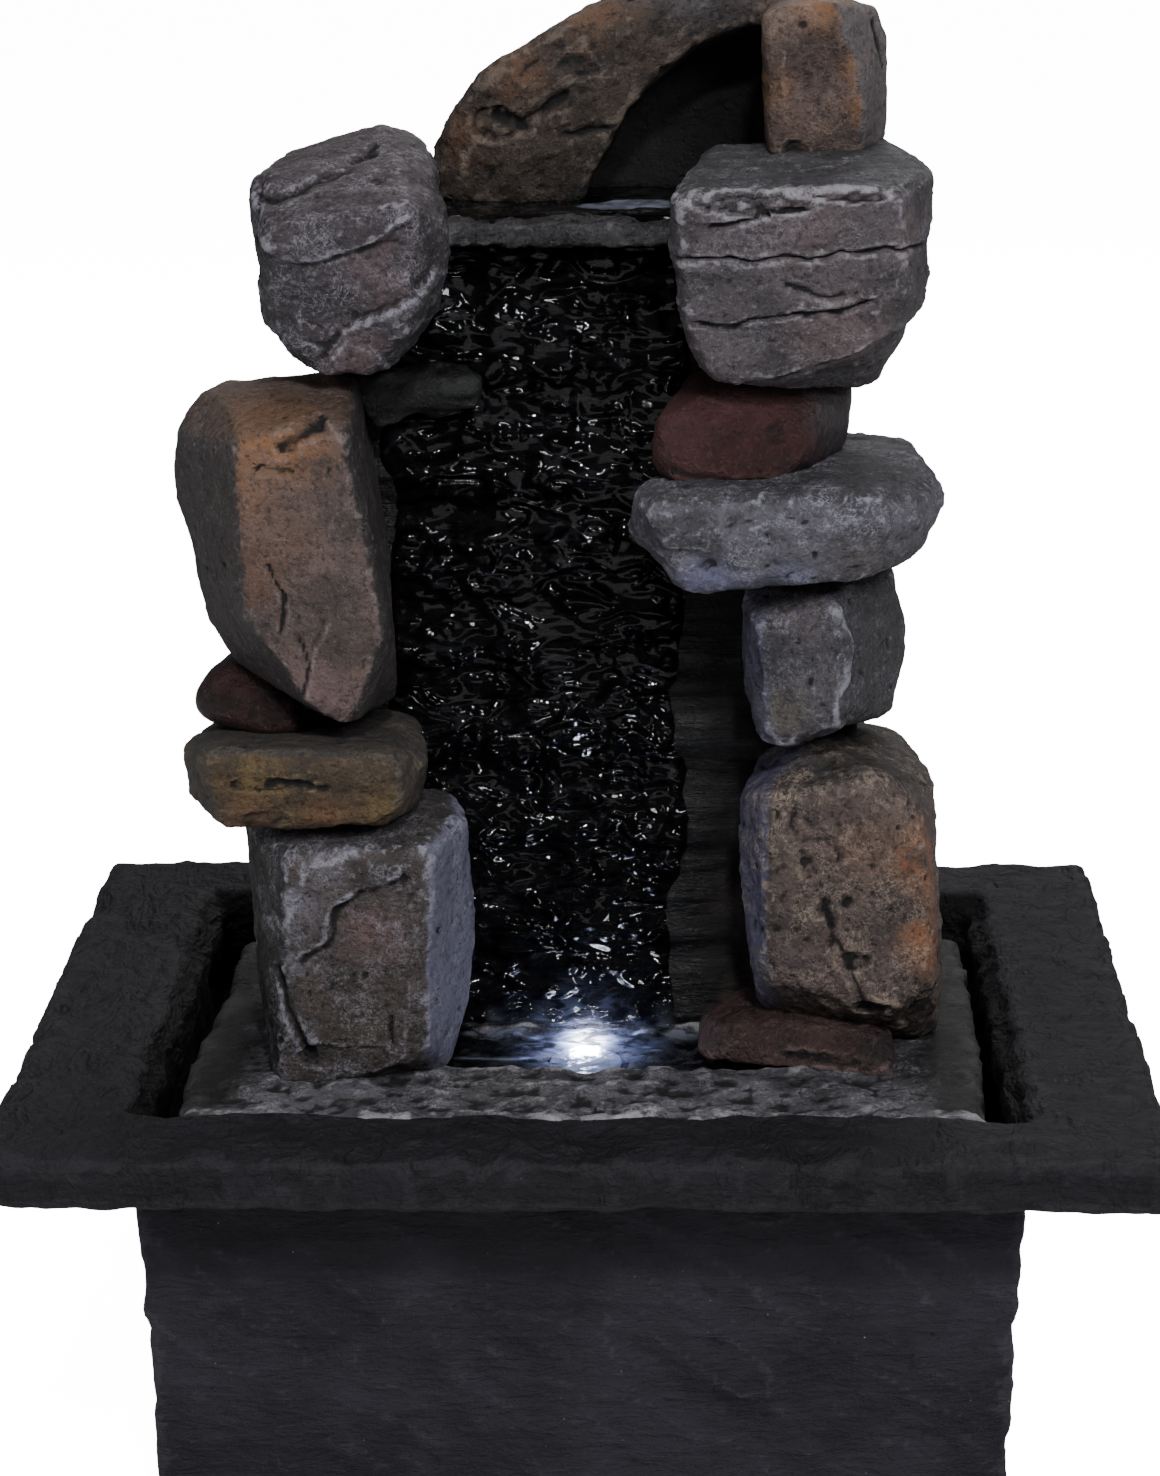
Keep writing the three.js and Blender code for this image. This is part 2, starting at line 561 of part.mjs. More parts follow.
const LAMP_AT = { x: LAMP.x, y: LAMP.y };
const UNDERSIDE = RIM.top + PLINTH.top - PLINTH.thick; // the plinth's, above the table
const LENS_FOOT = RIM.top + POOL.floor - 0.6;
const SEAT = LENS_FOOT - 1.4; // for the seal

function lampHousing() {
  const foot = UNDERSIDE - 2 * LAMP.floor;
  const floor = foot + LAMP.floor;
  const profile = [
    [LAMP.gland, foot], [LAMP.flange, foot], [LAMP.flange, UNDERSIDE - GAP], [LAMP.r, UNDERSIDE - GAP],
    [LAMP.r, LENS_FOOT], [LAMP.lip, LENS_FOOT], [LAMP.lip, SEAT], [LAMP.bore, SEAT], [LAMP.bore, floor],
    [LAMP.gland, floor], [LAMP.gland, foot],
  ];
  return turned(profile, LAMP_AT);
}

const lampSeal = () => ring(LENS.r, LAMP.bore, SEAT + 0.2, LENS_FOOT - 0.3, LAMP_AT);

function lampLens() {
  const shoulder = LENS_FOOT + LENS.edge;
  const crown = LENS_FOOT + LENS.dome;
  const profile = [
    [0, LENS_FOOT], [LENS.r, LENS_FOOT], [LENS.r, shoulder], [LENS.r - 1, shoulder + 0.3],
    [LENS.r - 2, crown - 1], [LENS.r - 4, crown - 0.3], [0, crown],
  ];
  return turned(profile, LAMP_AT);
}

const BOARD_FOOT = UNDERSIDE + 1;
const CHIP_FOOT = BOARD_FOOT + LED.board + GAP;
const lampBoard = () => post(LAMP.bore - GAP, BOARD_FOOT, BOARD_FOOT + LED.board, LAMP_AT);
const lampEmitter = () =>
  block(
    [LAMP.x - LED.half, LAMP.y - LED.half, CHIP_FOOT],
    [LAMP.x + LED.half, LAMP.y + LED.half, CHIP_FOOT + LED.high],
  );

// The lamp's lead runs from its plug on the pump, sags under the plinth and rises into the pod.
const LEAD = { r: 1.5, sides: 8, steps: 24 };
const PLUG = { r: 3.9, pin: 2.3, base: PUMP.high + SOCKET.high + GAP, top: UNDERSIDE - 1.2 };
const LEAD_ROUTE = [
  [SOCKET.x, SOCKET.y - PLUG.r - GAP, 61.5], [SOCKET.x, 32, 60.8], [SOCKET.x - 0.5, 22, 58.5],
  [SOCKET.x, 13, 56], [-5.5, 5, 54.6], [-3, -1.5, 54], [-0.8, -5.5, 55.2], [LAMP.x, LAMP.y, 58.5],
  [LAMP.x, LAMP.y, 62], [LAMP.x, LAMP.y, UNDERSIDE + 0.7],
];

function lampLead() {
  const path = new THREE.CatmullRomCurve3(LEAD_ROUTE.map((p) => new THREE.Vector3(...p)));
  const section = new THREE.Shape();
  section.moveTo(LEAD.r, 0);
  for (let i = 1; i < LEAD.sides; i++) {
    const angle = (i / LEAD.sides) * 2 * Math.PI;
    section.lineTo(LEAD.r * Math.cos(angle), LEAD.r * Math.sin(angle));
  }
  const options = { steps: LEAD.steps, extrudePath: path, bevelEnabled: false };
  return solid(new THREE.ExtrudeGeometry(section, options));
}

function lampPlug() {
  const pinFoot = PUMP.high + 2.5;
  const profile = [
    [0, pinFoot], [PLUG.pin, pinFoot], [PLUG.pin, PLUG.base], [PLUG.r, PLUG.base], [PLUG.r, PLUG.top],
    [0, PLUG.top],
  ];
  return turned(profile, { ...SOCKET, sides: 16 });
}

// ---- Assembly -------------------------------------------------------------------------------------------

const fountain = new THREE.Group();
const tower = new THREE.Group();
tower.position.z = RIM.top;
fountain.add(tower);

fountain.add(piece("basin", basin(), FINISH.slate));
fountain.add(piece("cable_grommet", cableGrommet(), FINISH.rubber));
const footX = INNER_X - FOOT.inset;
[
  ["foot_front_left", -footX, INNER_FRONT + FOOT.inset],
  ["foot_front_right", footX, INNER_FRONT + FOOT.inset],
  ["foot_back_left", -footX, INNER_BACK - FOOT.inset],
  ["foot_back_right", footX, INNER_BACK - FOOT.inset],
].forEach(([name, x, y]) =>
  fountain.add(piece(name, post(FOOT.r, 0, FOOT.high - GAP, { x, y, sides: 20 }), FINISH.rubber)),
);

tower.add(piece("plinth", plinth(), FINISH.plinth));
tower.add(piece("fall_wall", hollowFallWall(), FINISH.wet));
tower.add(piece("spill_lip", spillLip(), FINISH.grey));

// Each boulder is cut back from what is already there. The riser keeps its own way clear.
const chaseAndPlinth = planView(PLINTH_OUTLINE, -40, PLINTH.top + GAP);
const taken = [chaseAndPlinth, fallWall(GAP)];
const fitted = (stone) => largest(taken.reduce((left, other) => left.subtract(other), stone));
for (const { name, material, corners } of BOULDERS) {
  tower.add(piece(name, fitted(boulder(corners)), material));
  taken.push(boulder(corners, GAP));
}
const riserHole = post(RISER.r + 1, CORE.top - 52, CORE.top + 6, RISER);
const arch = boulder(ARCH).subtract(hull(MOUTH)).subtract(riserHole);
tower.add(piece("arch_stone", fitted(arch), FINISH.brown));
tower.add(piece("fall_ledge_stone", fitted(fallLedgeStone()), FINISH.grey));

const riserTop = RIM.top + CORE.top - 1;
fountain.add(piece("riser_tube", ring(RISER.r, RISER.bore, RISER.foot, riserTop, RISER), FINISH.vinyl));

fountain.add(piece("pump_housing", pumpHousing(), FINISH.pump));
fountain.add(piece("pump_cover", pumpCover(), FINISH.pump));
fountain.add(piece("flow_dial", flowDial(), FINISH.dial));
fountain.add(piece("impeller", impeller(), FINISH.ceramic));
fountain.add(piece("rotor_magnet", rotorMagnet(), FINISH.ferrite));
fountain.add(piece("rotor_shaft", rotorShaft(), FINISH.ceramic));
fountain.add(piece("front_bush", bush(ALONG.chamber - BUSH.length), FINISH.rubber));
fountain.add(piece("rear_bush", bush(ALONG.wellEnd), FINISH.rubber));
fountain.add(piece("stator_core", statorCore(), FINISH.iron));
fountain.add(piece("coil", coil(), FINISH.copper));
fountain.add(piece("potting", potting(), FINISH.pump));
CUP_PLACES.forEach((at, i) => fountain.add(piece(`suction_cup_${i + 1}`, suctionCup(at), FINISH.rubber)));

fountain.add(piece("lamp_housing", lampHousing(), FINISH.pump));
fountain.add(piece("lamp_lens", lampLens(), FINISH.lens));
fountain.add(piece("lamp_seal", lampSeal(), FINISH.rubber));
fountain.add(piece("lamp_board", lampBoard(), FINISH.board));
fountain.add(piece("lamp_emitter", lampEmitter(), FINISH.chip));
fountain.add(piece("lamp_lead", lampLead(), FINISH.rubber));
fountain.add(piece("lamp_plug", lampPlug(), FINISH.rubber));

export default fountain;
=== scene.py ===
"""The tabletop fountain's looks: carved and painted boulders, slate basin, falling water and lit pool."""
import json
import math

import bmesh
import bpy
import numpy as np
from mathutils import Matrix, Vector
from mathutils.bvhtree import BVHTree

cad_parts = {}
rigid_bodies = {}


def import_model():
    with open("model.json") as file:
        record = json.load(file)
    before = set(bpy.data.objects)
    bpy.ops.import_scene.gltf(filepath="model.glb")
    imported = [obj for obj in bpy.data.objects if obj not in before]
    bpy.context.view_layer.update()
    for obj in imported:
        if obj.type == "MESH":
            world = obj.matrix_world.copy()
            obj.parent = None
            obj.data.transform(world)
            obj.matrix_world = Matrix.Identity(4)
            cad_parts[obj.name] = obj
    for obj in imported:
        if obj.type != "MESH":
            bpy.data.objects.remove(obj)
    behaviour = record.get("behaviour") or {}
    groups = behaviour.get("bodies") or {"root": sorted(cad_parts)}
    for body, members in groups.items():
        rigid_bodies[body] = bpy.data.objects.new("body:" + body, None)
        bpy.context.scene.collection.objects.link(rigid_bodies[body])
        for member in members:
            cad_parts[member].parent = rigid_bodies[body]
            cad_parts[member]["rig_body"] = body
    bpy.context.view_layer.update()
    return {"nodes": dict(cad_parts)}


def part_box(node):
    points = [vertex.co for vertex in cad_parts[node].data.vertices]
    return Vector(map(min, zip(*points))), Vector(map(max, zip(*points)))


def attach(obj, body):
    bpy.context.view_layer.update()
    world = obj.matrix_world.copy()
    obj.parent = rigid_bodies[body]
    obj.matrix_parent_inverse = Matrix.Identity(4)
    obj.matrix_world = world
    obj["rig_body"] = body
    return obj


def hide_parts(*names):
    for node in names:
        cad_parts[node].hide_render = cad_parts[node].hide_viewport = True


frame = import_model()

MM = 0.001
RIM_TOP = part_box("basin")[1][2] / MM  # heights below are in mm above the table


def srgb(r, g, b):
    """A colour given as 0-255 sRGB, in linear light."""
    return tuple(((c / 255 + 0.055) / 1.055) ** 2.4 if c > 10 else c / 255 / 12.92 for c in (r, g, b))


# ---- Camera, light and floor ---------------------------------------------------------------------------


def make_camera():
    data = bpy.data.cameras.new("camera")
    data.lens = 90.75
    data.sensor_width = 36
    camera = bpy.data.objects.new("camera", data)
    camera.location = (0.0189, -0.6785, 0.3393)
    camera.rotation_euler = [math.radians(a) for a in (73.44, 0.40, 1.55)]
    bpy.context.scene.collection.objects.link(camera)
    bpy.context.scene.camera = camera


def softbox(name, place, aim, size, watts, colour=(1, 1, 1)):
    data = bpy.data.lights.new(name, "AREA")
    data.shape = "RECTANGLE"
    data.size, data.size_y = size
    data.energy = watts
    data.color = colour
    lamp = bpy.data.objects.new(name, data)
    lamp.location = place
    lamp.rotation_euler = (Vector(aim) - Vector(place)).to_track_quat("-Z", "Y").to_euler()
    bpy.context.scene.collection.objects.link(lamp)


def make_lights():
    middle = (0, 0, 0.17)
    softbox("key", (0.45, -1.0, 0.8), middle, (0.35, 0.25), 5.6, (0.97, 0.98, 1))
    softbox("spark", (0.12, -0.95, 0.95), middle, (0.09, 0.09), 6.0)
    softbox("fill", (-0.9, -0.75, 0.5), middle, (0.3, 0.4), 1.8)
    softbox("top", (0.0, 0.0, 1.25), middle, (0.4, 0.3), 3.4)
    softbox("back", (0.2, 1.1, 0.9), middle, (0.6, 0.5), 4)
    world = bpy.data.worlds.new("studio")
    world.use_nodes = True
    world.node_tree.nodes["Background"].inputs["Color"].default_value = (0.93, 0.95, 1, 1)
    world.node_tree.nodes["Background"].inputs["Strength"].default_value = 0.1
    bpy.context.scene.world = world


def make_floor():
    """A pale floor that shows brighter to the camera than it lights the object."""
    mesh = bpy.data.meshes.new("floor")
    far = 12
    mesh.from_pydata([(-far, -far, 0), (far, -far, 0), (far, far, 0), (-far, far, 0)], [], [(0, 1, 2, 3)])
    floor = bpy.data.objects.new("floor", mesh)
    bpy.context.scene.collection.objects.link(floor)
    s = Shader("floor")
    seen = s.node("ShaderNodeLightPath").outputs["Is Camera Ray"]
    lit = s.node("ShaderNodeBsdfDiffuse", Color=s.mix(seen, (0.7, 0.7, 0.7), (6, 6, 6)))
    glow = s.node("ShaderNodeEmission", Strength=s.math("MULTIPLY", seen, 14))
    both = s.node("ShaderNodeAddShader")
    s.link(lit.outputs[0], both.inputs[0])
    s.link(glow.outputs[0], both.inputs[1])
    s.link(both.outputs[0], s.output.inputs["Surface"])
    mesh.materials.append(s.material)


# ---- Shader helper -------------------------------------------------------------------------------------


class Shader:
    """Builds one material's nodes. Lengths are in mm, measured in the part's own frame."""

    def __init__(self, name):
        self.material = bpy.data.materials.new(name)
        self.material.use_nodes = True
        self.tree = self.material.node_tree
        self.tree.nodes.clear()
        self.output = self.tree.nodes.new("ShaderNodeOutputMaterial")
        own = self.node("ShaderNodeTexCoord").outputs["Object"]
        self.mm = self.vector("SCALE", own, scale=1 / MM)

    def link(self, a, b):
        self.tree.links.new(a, b)

    def put(self, socket, value):
        if isinstance(value, bpy.types.NodeSocket):
            self.link(value, socket)
        elif isinstance(value, tuple) and len(value) == 3 and socket.type == "RGBA":
            socket.default_value = (*value, 1)
        else:
            socket.default_value = value

    def node(self, kind, settings=None, **inputs):
        n = self.tree.nodes.new(kind)
        for key, value in (settings or {}).items():
            setattr(n, key, value)
        for key, value in inputs.items():
            self.put(n.inputs[key.replace("_", " ")], value)
        return n

    def vector(self, operation, a, b=None, scale=None):
        n = self.node("ShaderNodeVectorMath", {"operation": operation})
        self.put(n.inputs[0], a)
        if b is not None:
            self.put(n.inputs[1], b)
        if scale is not None:
            self.put(n.inputs["Scale"], scale)
        return n.outputs["Value" if operation == "DISTANCE" else "Vector"]

    def math(self, operation, a, b=0.0):
        n = self.node("ShaderNodeMath", {"operation": operation})
        self.put(n.inputs[0], a)
        self.put(n.inputs[1], b)
        return n.outputs[0]

    def ramp(self, value, low, high, to_low=0.0, to_high=1.0):
        """A smooth step from to_low to to_high as value goes from low to high."""
        n = self.node("ShaderNodeMapRange", {"interpolation_type": "SMOOTHSTEP"})
        for i, v in enumerate((value, low, high, to_low, to_high)):
            self.put(n.inputs[i], v)
        return n.outputs[0]

    def noise(self, size, detail=3.0, rough=0.55, stretch=(1, 1, 1), distortion=0.0, at=None):
        """Noise whose features are about size mm across, times stretch along each axis."""
        where = self.vector("DIVIDE", at or self.mm, tuple(size * k for k in stretch))
        amounts = {"Detail": detail, "Roughness": rough, "Distortion": distortion}
        return self.node("ShaderNodeTexNoise", Vector=where, Scale=1.0, **amounts).outputs["Fac"]

    def cells(self, size, at=None):
        """How far each spot is from the nearest of some scattered points, about size mm apart."""
        where = self.vector("DIVIDE", at or self.mm, (size, size, size))
        return self.node("ShaderNodeTexVoronoi", Vector=where, Scale=1.0).outputs["Distance"]

    def attribute(self, name):
        return self.node("ShaderNodeAttribute", {"attribute_name": name}).outputs["Fac"]

    def mix(self, factor, a, b, blend="MIX"):
        n = self.node("ShaderNodeMix", {"data_type": "RGBA", "blend_type": blend, "clamp_factor": True})
        self.put(n.inputs[0], factor)
        self.put(n.inputs[6], a)
        self.put(n.inputs[7], b)
        return n.outputs[2]

    def near(self, place, radius, soft=0.6):
        """1 close to a place in mm, falling to 0 at the radius."""
        far = self.vector("DISTANCE", self.mm, place)
        return self.ramp(far, radius * (1 - soft), radius, 1.0, 0.0)

    def bump(self, height, depth, strength=1.0):
        """Height in 0-1 as a bump of depth mm."""
        n = self.node("ShaderNodeBump", Height=height, Distance=depth * MM, Strength=strength)
        return n.outputs["Normal"]

    def surface(self, **inputs):
        n = self.node("ShaderNodeBsdfPrincipled", **inputs)
        self.link(n.outputs[0], self.output.inputs["Surface"])
        return n


# ---- Noise on points, for carving ----------------------------------------------------------------------


def hashed(ix, iy, iz, seed):
    """A repeatable random number in 0-1 for each lattice point."""
    h = (ix * 73856093) ^ (iy * 19349663) ^ (iz * 83492791) ^ (seed * 2654435761)
    h = (h ^ (h >> 13)) * 1274126177
    h = (h ^ (h >> 16)) & 0xFFFFFF
    return h / float(0xFFFFFF)


def smooth_noise(points, size, seed, stretch=(1, 1, 1)):
    """Value noise in -1..1 with features about size mm across."""
    p = points / (size * np.array(stretch, float))
    cell = np.floor(p).astype(np.int64)
    f = p - cell
    f = f * f * f * (f * (f * 6 - 15) + 10)
    total = 0
    for dx in (0, 1):
        for dy in (0, 1):
            for dz in (0, 1):
                weight = (
                    (f[:, 0] if dx else 1 - f[:, 0])
                    * (f[:, 1] if dy else 1 - f[:, 1])
                    * (f[:, 2] if dz else 1 - f[:, 2])
                )
                total = total + weight * hashed(cell[:, 0] + dx, cell[:, 1] + dy, cell[:, 2] + dz, seed)
    return total * 2 - 1


def rough_noise(points, size, seed, octaves=4, stretch=(1, 1, 1)):
    """Several octaves of smooth noise, about -1..1."""
    total, weight = 0, 1.0
    for k in range(octaves):
        total = total + weight * smooth_noise(points + 17.3 * k, size / 2**k, seed + 31 * k, stretch)
        weight *= 0.5
    return total / 1.4


def step(value, low, high):
    """A smooth step on an array."""
    t = np.clip((value - low) / (high - low), 0, 1)
    return t * t * (3 - 2 * t)


# ---- Carved pieces -------------------------------------------------------------------------------------


class Carving:
    """A copy of a CAD node, remeshed finely so that its surface can be pushed in and out."""

    def __init__(self, node, voxel=0.56, grow=0.5, soften=0):
        """Remeshes at voxel mm, grows by so many mm and rounds the edges by soften rounds of smoothing."""
        source = frame["nodes"][node]
        self.node = node
        self.mesh = source.data.copy()
        self.mesh.materials.clear()
        self.piece = bpy.data.objects.new(node + "_carved", self.mesh)
        bpy.context.scene.collection.objects.link(self.piece)
        weld = bmesh.new()
        weld.from_mesh(self.mesh)
        bmesh.ops.remove_doubles(weld, verts=weld.verts, dist=1e-6)
        weld.to_mesh(self.mesh)
        weld.free()
        remesh = self.piece.modifiers.new("remesh", "REMESH")
        remesh.mode = "VOXEL"
        remesh.voxel_size = voxel * MM
        seen = self.piece.evaluated_get(bpy.context.evaluated_depsgraph_get())
        fine = bpy.data.meshes.new_from_object(seen)
        self.piece.modifiers.clear()
        self.piece.data = fine
        bpy.data.meshes.remove(self.mesh)
        self.mesh = fine
        self.edges = np.empty(len(fine.edges) * 2, np.int32)
        fine.edges.foreach_get("vertices", self.edges)
        self.edges = self.edges.reshape(-1, 2)
        self.degree = np.bincount(self.edges.ravel(), minlength=len(fine.vertices)).astype(float)
        self.points = np.empty(len(fine.vertices) * 3)
        fine.vertices.foreach_get("co", self.points)
        self.points = self.points.reshape(-1, 3) / MM
        low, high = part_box(node)
        self.low, self.high = np.array(low) / MM, np.array(high) / MM
        if grow:
            self.push(np.full(len(self.points), grow))
        self.points = self.smoothed(self.points, soften)
        self.crest = np.zeros(len(self.points))
        self.facing = self.smoothed(self.normals(), 3)

    def smoothed(self, values, rounds):
        """Values averaged with their neighbours' so many times."""
        a, b = self.edges.T
        n = len(values)
        for _ in range(rounds):
            total = np.stack(
                [
                    np.bincount(a, values[b, k], n) + np.bincount(b, values[a, k], n)
                    for k in range(values.shape[1])
                ],
                axis=1,
            )
            values = 0.5 * values + 0.5 * total / self.degree[:, None]
        return values

    def normals(self):
        self.mesh.vertices.foreach_set("co", (self.points * MM).ravel())
        self.mesh.update()
        out = np.empty(len(self.mesh.vertices) * 3)
        self.mesh.vertex_normals.foreach_get("vector", out)
        return out.reshape(-1, 3)

    def push(self, depth):
        """Moves each point along its normal by so many mm."""
        self.points = self.points + self.normals() * depth[:, None]

    def spot(self, u, w):
        """The place on the front that is u of the way across and w of the way up the piece."""
        x = self.low[0] + u * (self.high[0] - self.low[0])
        z = self.low[2] + w * (self.high[2] - self.low[2])
        return x, z

    def keep(self, name, values):
        layer = self.mesh.attributes.new(name, "FLOAT", "POINT")
        layer.data.foreach_set("value", np.ascontiguousarray(values, np.float32))

    def finish(self, material, slot, body="tower"):
        """Writes the shape and how sharply it bulges, then gives the piece its paint and its body."""
        normals = self.normals()
        for name, rounds, size in (("edge", 24, 1.1), ("grain", 4, 0.15)):
            bulge = ((self.points - self.smoothed(self.points, rounds)) * normals).sum(1)
            self.keep(name, np.clip((bulge - np.median(bulge)) / size, -1, 1))
        self.keep("crest", np.clip(self.crest, -1, 1))
        for name, axis in (("facing_x", 0), ("facing_z", 2)):
            self.keep(name, self.facing[:, axis])
        self.mesh.polygons.foreach_set("use_smooth", np.ones(len(self.mesh.polygons), bool))
        self.mesh.materials.append(material)
        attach(self.piece, body)
        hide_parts(self.node)
        return self.piece


# ---- Carving tools -------------------------------------------------------------------------------------
# Each pushes a carving's surface in or out, or paints its crests. u and w are shares of the piece's width and
# height, seen from the front. Lengths are in mm.


def weather(c, seed, broad=0.6, rough=0.4, fine=0.14, broad_size=14, rough_size=4.5):
    c.push(broad * rough_noise(c.points, broad_size, seed, 2))
    grit = fine * rough_noise(c.points, 1.7, seed + 3, 2)
    c.push(rough * rough_noise(c.points, rough_size, seed + 7, 3) + grit)


def facing_front(c):
    return step(-c.normals()[:, 1], 0.0, 0.35)


def slanted(points, degrees):
    """The points turned in the front view, so that stretched noise runs at a slant."""
    cos, sin = math.cos(math.radians(degrees)), math.sin(math.radians(degrees))
    x, y, z = points.T
    return np.stack([x * cos + z * sin, y, z * cos - x * sin], axis=1)


def trace(c, path, wander, seed):
    """Each point's distance from a wandering line on the front, which side it is on, and how far along."""
    drift = [rough_noise(c.points, 6, seed + k, 4) for k in (0, 9)]
    xz = c.points[:, [0, 2]] + wander * np.stack(drift, axis=1)
    spots = [np.array(c.spot(*p)) for p in path]
    legs = len(spots) - 1
    away = np.full(len(xz), np.inf)
    side, along = np.zeros(len(xz)), np.zeros(len(xz))
    for k in range(legs):
        leg = spots[k + 1] - spots[k]
        off = xz - spots[k]
        t = np.clip(off @ leg / (leg @ leg), 0, 1)
        far = np.linalg.norm(off - t[:, None] * leg, axis=1)
        closer = far < away
        away = np.where(closer, far, away)
        side = np.where(closer, np.sign(leg[0] * off[:, 1] - leg[1] * off[:, 0]), side)
        along = np.where(closer, (k + t) / legs, along)
    return away, side, along


def band(away, middle, width):
    """A soft band, 1 at the middle, that fades out over the width."""
    return np.exp(-(((away - middle) / width) ** 2))


def ends(along):
    """Fades a line's two ends."""
    return step(along, 0.0, 0.1) * (1 - step(along, 0.9, 1.0))


def stroke(c, path, strength=0.9, width=0.5, wander=0.9, seed=1):
    """A line of light paint, or of black where strength is below 0."""
    away, _, along = trace(c, path, wander, seed)
    c.crest += strength * band(away, 0, width) * ends(along)


def crack(c, path, depth, width=0.55, wander=1.0, seed=1, broken=0.0):
    """A cleft along a line on the front, with gaps where broken is above 0."""
    away, _, along = trace(c, path, wander, seed)
    whole = step(smooth_noise(c.points, 6, seed + 5) + 1 - 2 * broken, 0, 0.3) * ends(along) * facing_front(c)
    c.push(-depth * band(away, 0, width) * whole)
    # Light paint on the lips, and painted shade, black, down the middle of the cleft.
    c.crest += whole * (0.35 * band(away, 2 * width, 0.4) - 0.9 * band(away, 0, 0.8 * width))


def ledge(c, path, height, reach=7, wander=1.0, seed=1, paint=0.45):
    """A step in the surface along a line on the front. Going along the line, its left side is the higher."""
    away, side, along = trace(c, path, wander, seed)
    rise = 0.5 * height * side * np.tanh(away / 0.4) * band(away, 0, reach)
    c.push(rise * ends(along) * facing_front(c))
    raised = side * height > 0
    # Light paint dragged along the raised lip, and painted shade along the lower side.
    lit = 0.7 * band(away, 0.3, 0.4) + 0.4 * band(away, 0.6, 1.5)
    c.crest += paint * ends(along) * np.where(raised, lit, -0.5 * band(away, 0.3, 0.8))


def pit(c, u, w, radius, depth, tall=1.0):
    """A round hollow, tall times as high as it is wide."""
    x, z = c.spot(u, w)
    away = np.hypot(c.points[:, 0] - x, (c.points[:, 2] - z) / tall) / radius
    dish = 1 - step(away + 0.15 * rough_noise(c.points, 5, 8, 3), 0.1, 1.0)
    c.push(-depth * dish * facing_front(c))
    # Painted shade: the hollow is darkened.
    c.crest -= 0.35 * dish


def crumble(c, u, w, width, height, depth, seed):
    """A rough broken patch."""
    x, z = c.spot(u, w)
    away = np.hypot((c.points[:, 0] - x) / width, (c.points[:, 2] - z) / height)
    away = away + 0.5 * rough_noise(c.points, 5, seed, 3)
    rough = np.clip(0.7 + 0.6 * rough_noise(c.points, 3.2, seed + 3, 3), 0.1, 1.4)
    broken = (1 - step(away, 0.75, 0.95)) * rough * facing_front(c)
    c.push(-depth * broken)
    # Light paint on the rim of the patch, and painted shade over the broken part.
    c.crest += 0.5 * band(away, 1.05, 0.12) - 0.5 * broken


def flakes(c, size, height, seed, stretch=(1, 1, 1), layers=3, slant=0):
    """Thin layers with broken edges, as split slate has."""
    n = rough_noise(slanted(c.points, slant), size, seed, 4, stretch) * layers
    floor = np.floor(n)
    c.push(height * (floor + step(n - floor, 0.0, 0.2)) / layers)


def clefts(c, size, height, seed, stretch=(1, 1, 1), slant=0):
    """Sharp low ridges with smooth hollows between them."""
    n = rough_noise(slanted(c.points, slant), size, seed, 4, stretch)
    c.push(height * (1 - 2.2 * np.abs(n)))


def pores(c, size, depth, seed, share=0.25):
    """Small scattered holes."""
    n = smooth_noise(c.points, size, seed) * 0.6 + smooth_noise(c.points, size * 0.6, seed + 3) * 0.4
    c.push(-depth * step(n, 1 - 2 * share, 1 - 1.2 * share))


# ---- Painted stone -------------------------------------------------------------------------------------

BLACK = srgb(14, 12, 13)
WASH_DEPTH = 4  # how far behind a stone's frontmost point a wash of paint is centred
# Painted shade and light: facets turned each way get a colour, darker where less light falls and bluish where
# the lamp lights them, over the paint's own colour.
SIDE_SHADING = {  # for each side, how far the surface has to face that way to be painted, from its start to its full
    "left": ("facing_x", -0.25, -0.5),
    "right": ("facing_x", 0.3, 0.6),
    "top": ("facing_z", 0.45, 0.7),
}


